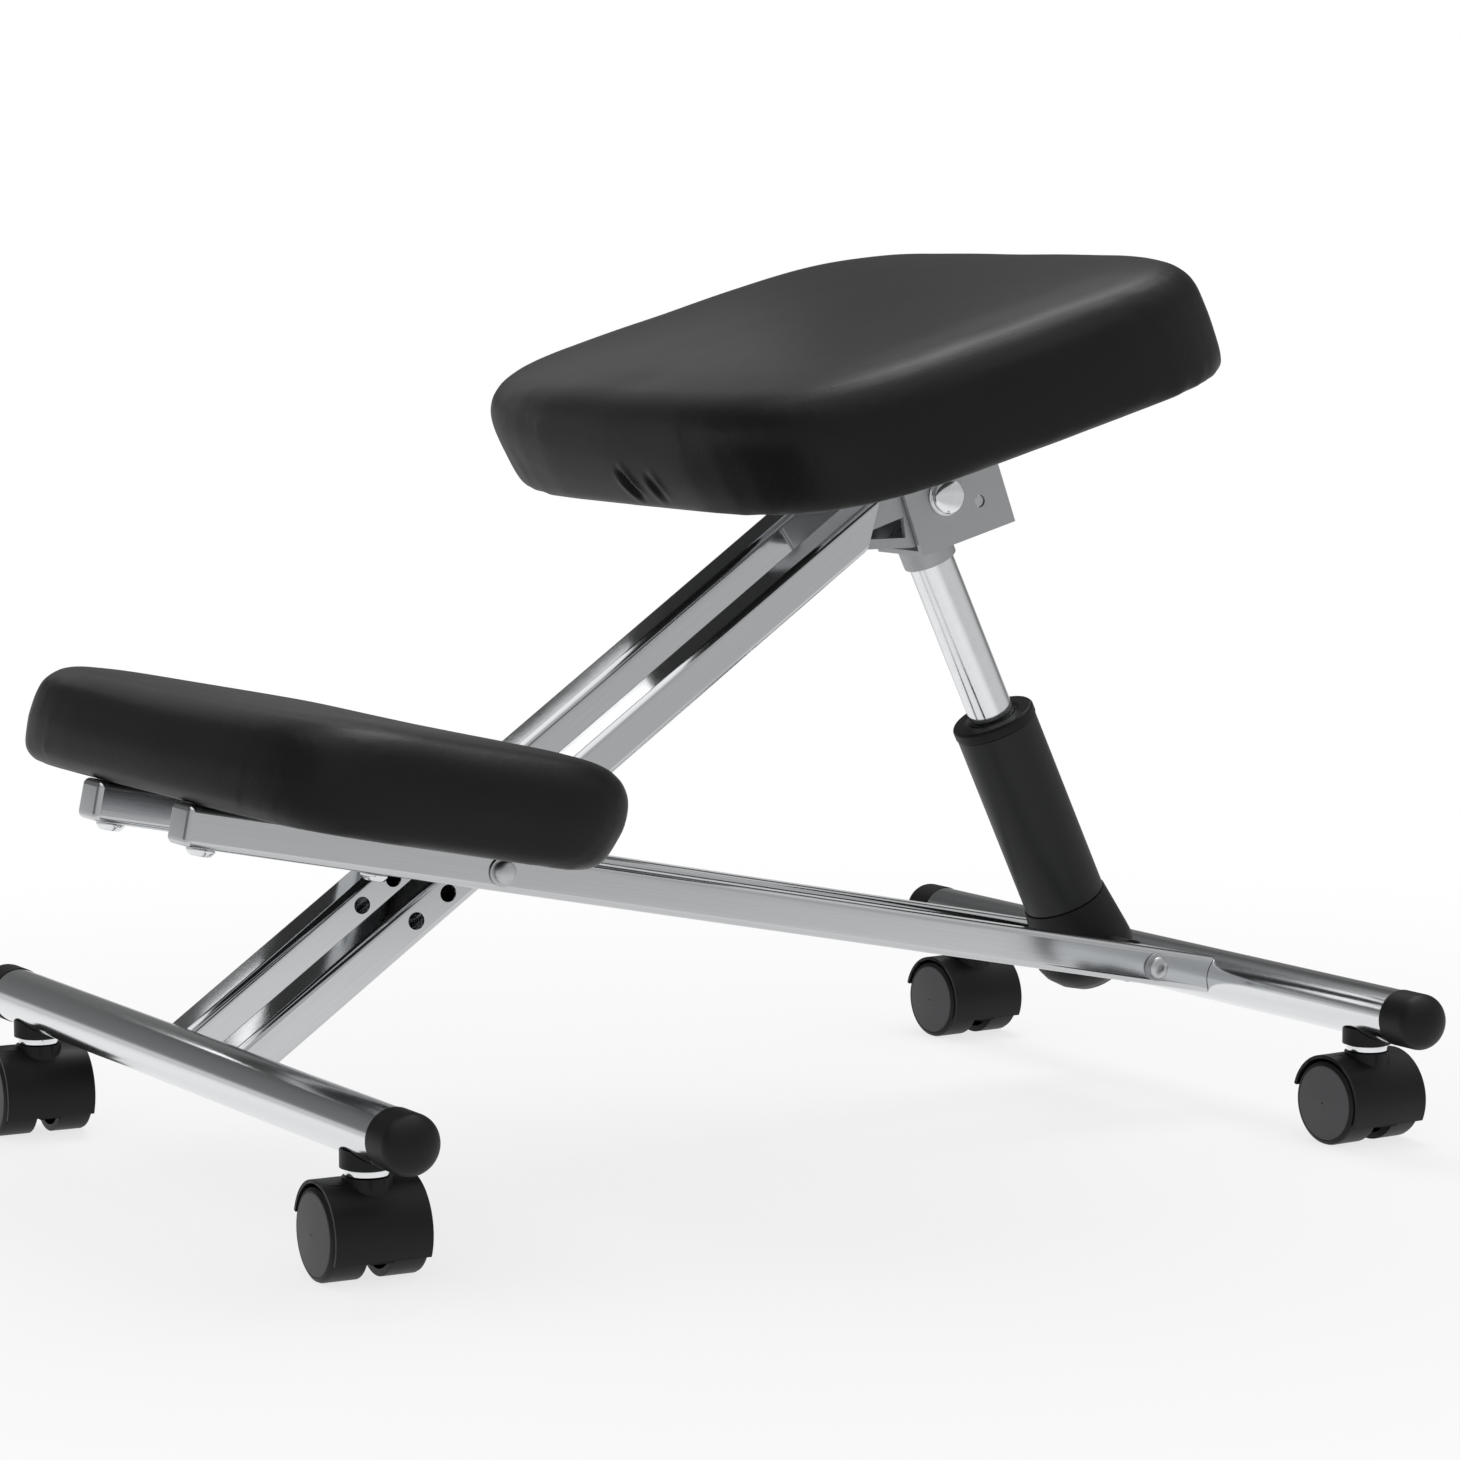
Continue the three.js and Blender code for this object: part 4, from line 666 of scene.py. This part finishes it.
def cushion(node, board, origin, tilt, shares):
    """A cushion grown from its solid and its board, which are scaled by the shares: they are
    remeshed as one skin, swollen as cloth, evened, and set to the solid's outline again."""
    up = Matrix.Translation(origin) @ Matrix.Rotation(tilt, 4, "X")
    piece = bpy.data.objects.new(node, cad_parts[node].data.copy())
    filler = bpy.data.objects.new(board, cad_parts[board].data.copy())
    for part in (piece, filler):
        part.data.transform(up.inverted())
        bpy.context.scene.collection.objects.link(part)
    filler.data.transform(Matrix.Diagonal((*BOARD_GROWTH, 1)))
    solid = points_of(piece)
    solid_low, solid_high = solid.min(axis=0) * OUTLINE_SPREAD, solid.max(axis=0) * OUTLINE_SPREAD
    pick(piece)
    filler.select_set(True)
    bpy.ops.object.join()
    piece.data.transform(Matrix.Diagonal((*shares, 1)))
    modify(piece, "REMESH", mode="VOXEL", voxel_size=VOXEL)
    modify(piece, "SMOOTH", iterations=SETTLE_ROUNDS)
    rest = points_of(piece)
    held = piece.vertex_groups.new(name="held")
    held.add([i for i, co in enumerate(rest) if co[2] < HELD_BELOW], 1.0, "REPLACE")
    outward = points_of(piece, "normal")
    cloth = piece.modifiers.new("cover", "CLOTH")
    cloth.settings.vertex_group_mass = "held"
    cloth.settings.use_pressure = True
    cloth.settings.uniform_pressure_force = COVER_PRESSURE
    cloth.settings.effector_weights.gravity = 0
    cloth.settings.tension_stiffness = COVER_TENSION
    cloth.settings.bending_stiffness = COVER_BENDING
    cloth.point_cache.frame_start, cloth.point_cache.frame_end = 1, COVER_STEPS
    for step in range(1, COVER_STEPS + 1):
        bpy.context.scene.frame_set(step)
    pick(piece)
    bpy.ops.object.modifier_apply(modifier=cloth.name)
    bpy.context.scene.frame_set(1)
    # The foam holds the cover out, so no point moves inward.
    moves = points_of(piece) - rest
    moves -= outward * np.minimum(0, (moves * outward).sum(axis=1, keepdims=True))
    length = np.maximum(np.linalg.norm(moves, axis=1, keepdims=True), LEAST_LENGTH)
    moves = evened(piece, moves * np.minimum(1, MOST_SWELL / length), EVEN_ROUNDS)
    set_points(piece, rest + moves)
    modify(piece, "SMOOTH", vertex_group="held", iterations=RIM_ROUNDS)
    modify(piece, "SUBSURF", levels=1, render_levels=1)
    place = points_of(piece)
    low, high = place.min(axis=0), place.max(axis=0)
    level = slice(0, 2)
    growth = ((solid_high - solid_low) / (high - low))[level]
    place[:, level] = solid_low[level] + (place - low)[:, level] * growth
    set_points(piece, place)
    return piece, up


LIP_SHARE, LIP_AWAY = 0.45, 2


def crease(piece, start, end, width, depth):
    """Presses a fold in between two points, deepest at its middle, with lips beside it."""
    start, along = np.array(start), np.array(end) - np.array(start)
    place = points_of(piece)
    share = np.clip((place - start) @ along / (along @ along), 0, 1)
    away = np.linalg.norm(place - start - share[:, None] * along, axis=1) / width
    profile = np.exp(-away ** 2) - LIP_SHARE * np.exp(-(away - LIP_AWAY) ** 2)
    place -= points_of(piece, "normal") * (depth * np.sin(pi * share) * profile)[:, None]
    set_points(piece, place)


SEAT_TILT = radians(15.86)
SEAT_ORIGIN = Vector((0, 0.114350, 0.420101))
seat, up = cushion("seat_cushion", "seat_board", SEAT_ORIGIN, SEAT_TILT, (0.99, 0.985, 1.02))
# Three short folds run down the seat's front face to its lower edge, the deepest near the middle.
SEAT_CREASES = (((0.002, -0.172, 0.029), (0.018, -0.166, 0.006), 0.0030, 0.0028),
                ((0.034, -0.172, 0.027), (0.044, -0.166, 0.006), 0.0032, 0.0016),
                ((-0.140, -0.172, 0.020), (-0.128, -0.166, 0.006), 0.0034, 0.0012))
for fold in SEAT_CREASES:
    crease(seat, *fold)
seat.data.transform(up)
bpy.ops.object.shade_smooth()
fit(seat, "seat_pad", leather, "black_leather", "seat", "seat_cushion")
KNEE_ORIGIN = Vector((0, -0.260463, 0.212533))
knee, up = cushion("knee_cushion", "knee_board", KNEE_ORIGIN, -RAIL_FALL, (0.99, 0.98, 1.03))
knee.data.transform(up)
bpy.ops.object.shade_smooth()
fit(knee, "knee_pad", leather, "black_leather", "knee_frame", "knee_cushion")

# The floor is a pale studio sheet that fades into the white backdrop and keeps the chair's
# shadow. In gloss it dims with the distance, so that the bars mirror a grey studio below.
FLOOR_RADIUS, FADE_START, FADE_END, FAR_SHINE = 12, 0.45, 1.3, 0.62
bpy.ops.object.select_all(action="DESELECT")
bpy.ops.mesh.primitive_circle_add(vertices=128, radius=FLOOR_RADIUS, fill_type="NGON")
floor = bpy.context.object
floor.name = "studio_floor"
sheet = bpy.data.materials.new("matt white studio sheet")
sheet.use_nodes = True
tree = sheet.node_tree
tree.nodes.clear()
place = add_node(tree, "ShaderNodeTexCoord").outputs["Object"]
reach = add_node(tree, "ShaderNodeVectorMath", {0: place}, operation="LENGTH")
fade = add_node(tree, "ShaderNodeMapRange",
                {"Value": reach.outputs["Value"], "From Min": FADE_START, "From Max": FADE_END},
                interpolation_type="SMOOTHSTEP")
matt = add_node(tree, "ShaderNodeBsdfDiffuse", {"Color": (0.95, 0.95, 0.95, 1)})
rays = add_node(tree, "ShaderNodeLightPath")
dull = add_node(tree, "ShaderNodeMath", {0: fade.outputs[0], 1: rays.outputs["Is Glossy Ray"]},
                operation="MULTIPLY")
shine = add_node(tree, "ShaderNodeMapRange",
                 {"Value": dull.outputs[0], "To Min": 1.0, "To Max": FAR_SHINE})
white = add_node(tree, "ShaderNodeEmission",
                 {"Color": (1, 1, 1, 1), "Strength": shine.outputs[0]})
seen = add_node(tree, "ShaderNodeMath",
                {0: rays.outputs["Is Camera Ray"], 1: rays.outputs["Is Glossy Ray"]},
                operation="ADD", use_clamp=True)
pale = add_node(tree, "ShaderNodeMapRange",
                {"Value": fade.outputs[0], "To Min": 0.75, "To Max": 1.0})
share = add_node(tree, "ShaderNodeMath", {0: pale.outputs[0], 1: seen.outputs[0]},
                 operation="MULTIPLY")
mixed = add_node(tree, "ShaderNodeMixShader",
                 {0: share.outputs[0], 1: matt.outputs[0], 2: white.outputs[0]})
add_node(tree, "ShaderNodeOutputMaterial", {"Surface": mixed.outputs[0]})
floor.data.materials.append(sheet)

# The room is plain and even for matt surfaces, and to the camera it is white. In gloss it is dim
# above the horizon to the sitter's right, grey to the left, and has a nearly white ceiling.
ROOM_LIGHT, AMBIENT, SIDE_EDGE = 1.6, 0.36, 0.35
world = bpy.data.worlds.new("studio")
world.use_nodes = True
bpy.context.scene.world = world
tree = world.node_tree
tree.nodes.clear()
direction = add_node(tree, "ShaderNodeTexCoord").outputs["Generated"]
axes = add_node(tree, "ShaderNodeSeparateXYZ", {"Vector": direction})
height = add_node(tree, "ShaderNodeMapRange",
                  {"Value": axes.outputs["Z"], "From Min": -1.0, "From Max": 1.0})


def ramp(stops):
    """A colour ramp over the height above the horizon, from -1 to 1, as grey levels."""
    node = add_node(tree, "ShaderNodeValToRGB", {"Fac": height.outputs[0]})
    while len(node.color_ramp.elements) < len(stops):
        node.color_ramp.elements.new(0.5)
    for element, (level, grey) in zip(node.color_ramp.elements, stops):
        element.position = (level + 1) / 2
        element.color = (grey, grey, grey, 1)
    return node.outputs["Color"]


dim_side = ramp([(-1, 0.5), (-0.04, 0.6), (0.08, 0.12), (0.4, 0.09), (0.48, 0.05), (0.62, 0.05),
                 (0.8, 0.75), (1, 0.9)])
grey_side = ramp([(-1, 0.4), (0.0, 0.4), (0.25, 0.33), (0.6, 0.4), (0.8, 0.75), (1, 0.9)])
sideways = add_node(tree, "ShaderNodeMapRange",
                    {"Value": axes.outputs["X"], "From Min": -SIDE_EDGE, "From Max": SIDE_EDGE},
                    interpolation_type="SMOOTHSTEP")
room = add_node(tree, "ShaderNodeMix",
                {"Factor": sideways.outputs[0], "A": dim_side, "B": grey_side}, data_type="RGBA")
rays = add_node(tree, "ShaderNodeLightPath")
glossy = add_node(tree, "ShaderNodeMix",
                  {"Factor": rays.outputs["Is Glossy Ray"], "A": (AMBIENT, AMBIENT, AMBIENT, 1),
                   "B": room.outputs["Result"]}, data_type="RGBA")
seen = add_node(tree, "ShaderNodeMix",
                {"Factor": rays.outputs["Is Camera Ray"], "A": glossy.outputs["Result"],
                 "B": (1 / ROOM_LIGHT, 1 / ROOM_LIGHT, 1 / ROOM_LIGHT, 1)}, data_type="RGBA")
background = add_node(tree, "ShaderNodeBackground",
                      {"Color": seen.outputs["Result"], "Strength": ROOM_LIGHT})
add_node(tree, "ShaderNodeOutputWorld", {"Surface": background.outputs[0]})


# Two softboxes light the chair: one above and behind it, which shows in gloss, and one in front,
# above the camera and to its left, which lights matt surfaces only.
def softbox(name, place, target, size, power, glossy, roll=(1, 0, 0)):
    """A studio light that faces a point; its first size runs along the roll direction."""
    data = bpy.data.lights.new(name, "AREA")
    data.shape = "RECTANGLE"
    data.size, data.size_y = size
    data.energy = power
    light = bpy.data.objects.new(name, data)
    away = (Vector(place) - Vector(target)).normalized()
    across = (Vector(roll) - away * away.dot(Vector(roll))).normalized()
    axes = Matrix((across, away.cross(across), away)).transposed().to_4x4()
    light.matrix_world = Matrix.Translation(place) @ axes
    light.visible_glossy = glossy
    light.visible_camera = False
    bpy.context.scene.collection.objects.link(light)


softbox("ceiling softbox", place=(-0.75, 0.7, 2.3), target=(0, 0.1, 0.45), size=(1.2, 1.2),
        power=17, glossy=True)
softbox("front softbox", place=(2.2, -1.8, 1.4), target=(0, 0, 0.3), size=(1.4, 1.4),
        power=9, glossy=False)

# A long strip light over the sitter's right lies along the struts. Its lower edge falls between
# the two struts' reflections, so that the near strut's upper face is white above the knee rest
# and the far one's is dark.
STRIP_DISTANCE, STRIP_LENGTH, STRIP_WIDTH, STRIP_POWER = 0.65, 0.7, 0.05, 0.24
STRIP_ALONG = 0.12
strut_way = Vector((0, cos(STRUT_RISE), sin(STRUT_RISE)))
strut_up = Vector((0, -sin(STRUT_RISE), cos(STRUT_RISE)))
middle = PIVOT + strut_way * STRIP_ALONG + strut_up * TUBE_HEIGHT / 2
sight = (middle - camera.location).normalized()
bounce = sight - strut_up * 2 * sight.dot(strut_up)
edge = middle + bounce * STRIP_DISTANCE
rise = (strut_way.cross(bounce)).normalized()
rise = rise if rise.z > 0 else -rise
softbox("strip light", place=edge + rise * STRIP_WIDTH / 2, target=middle + rise * STRIP_WIDTH / 2,
        size=(STRIP_LENGTH, STRIP_WIDTH), power=STRIP_POWER, glossy=True, roll=strut_way)
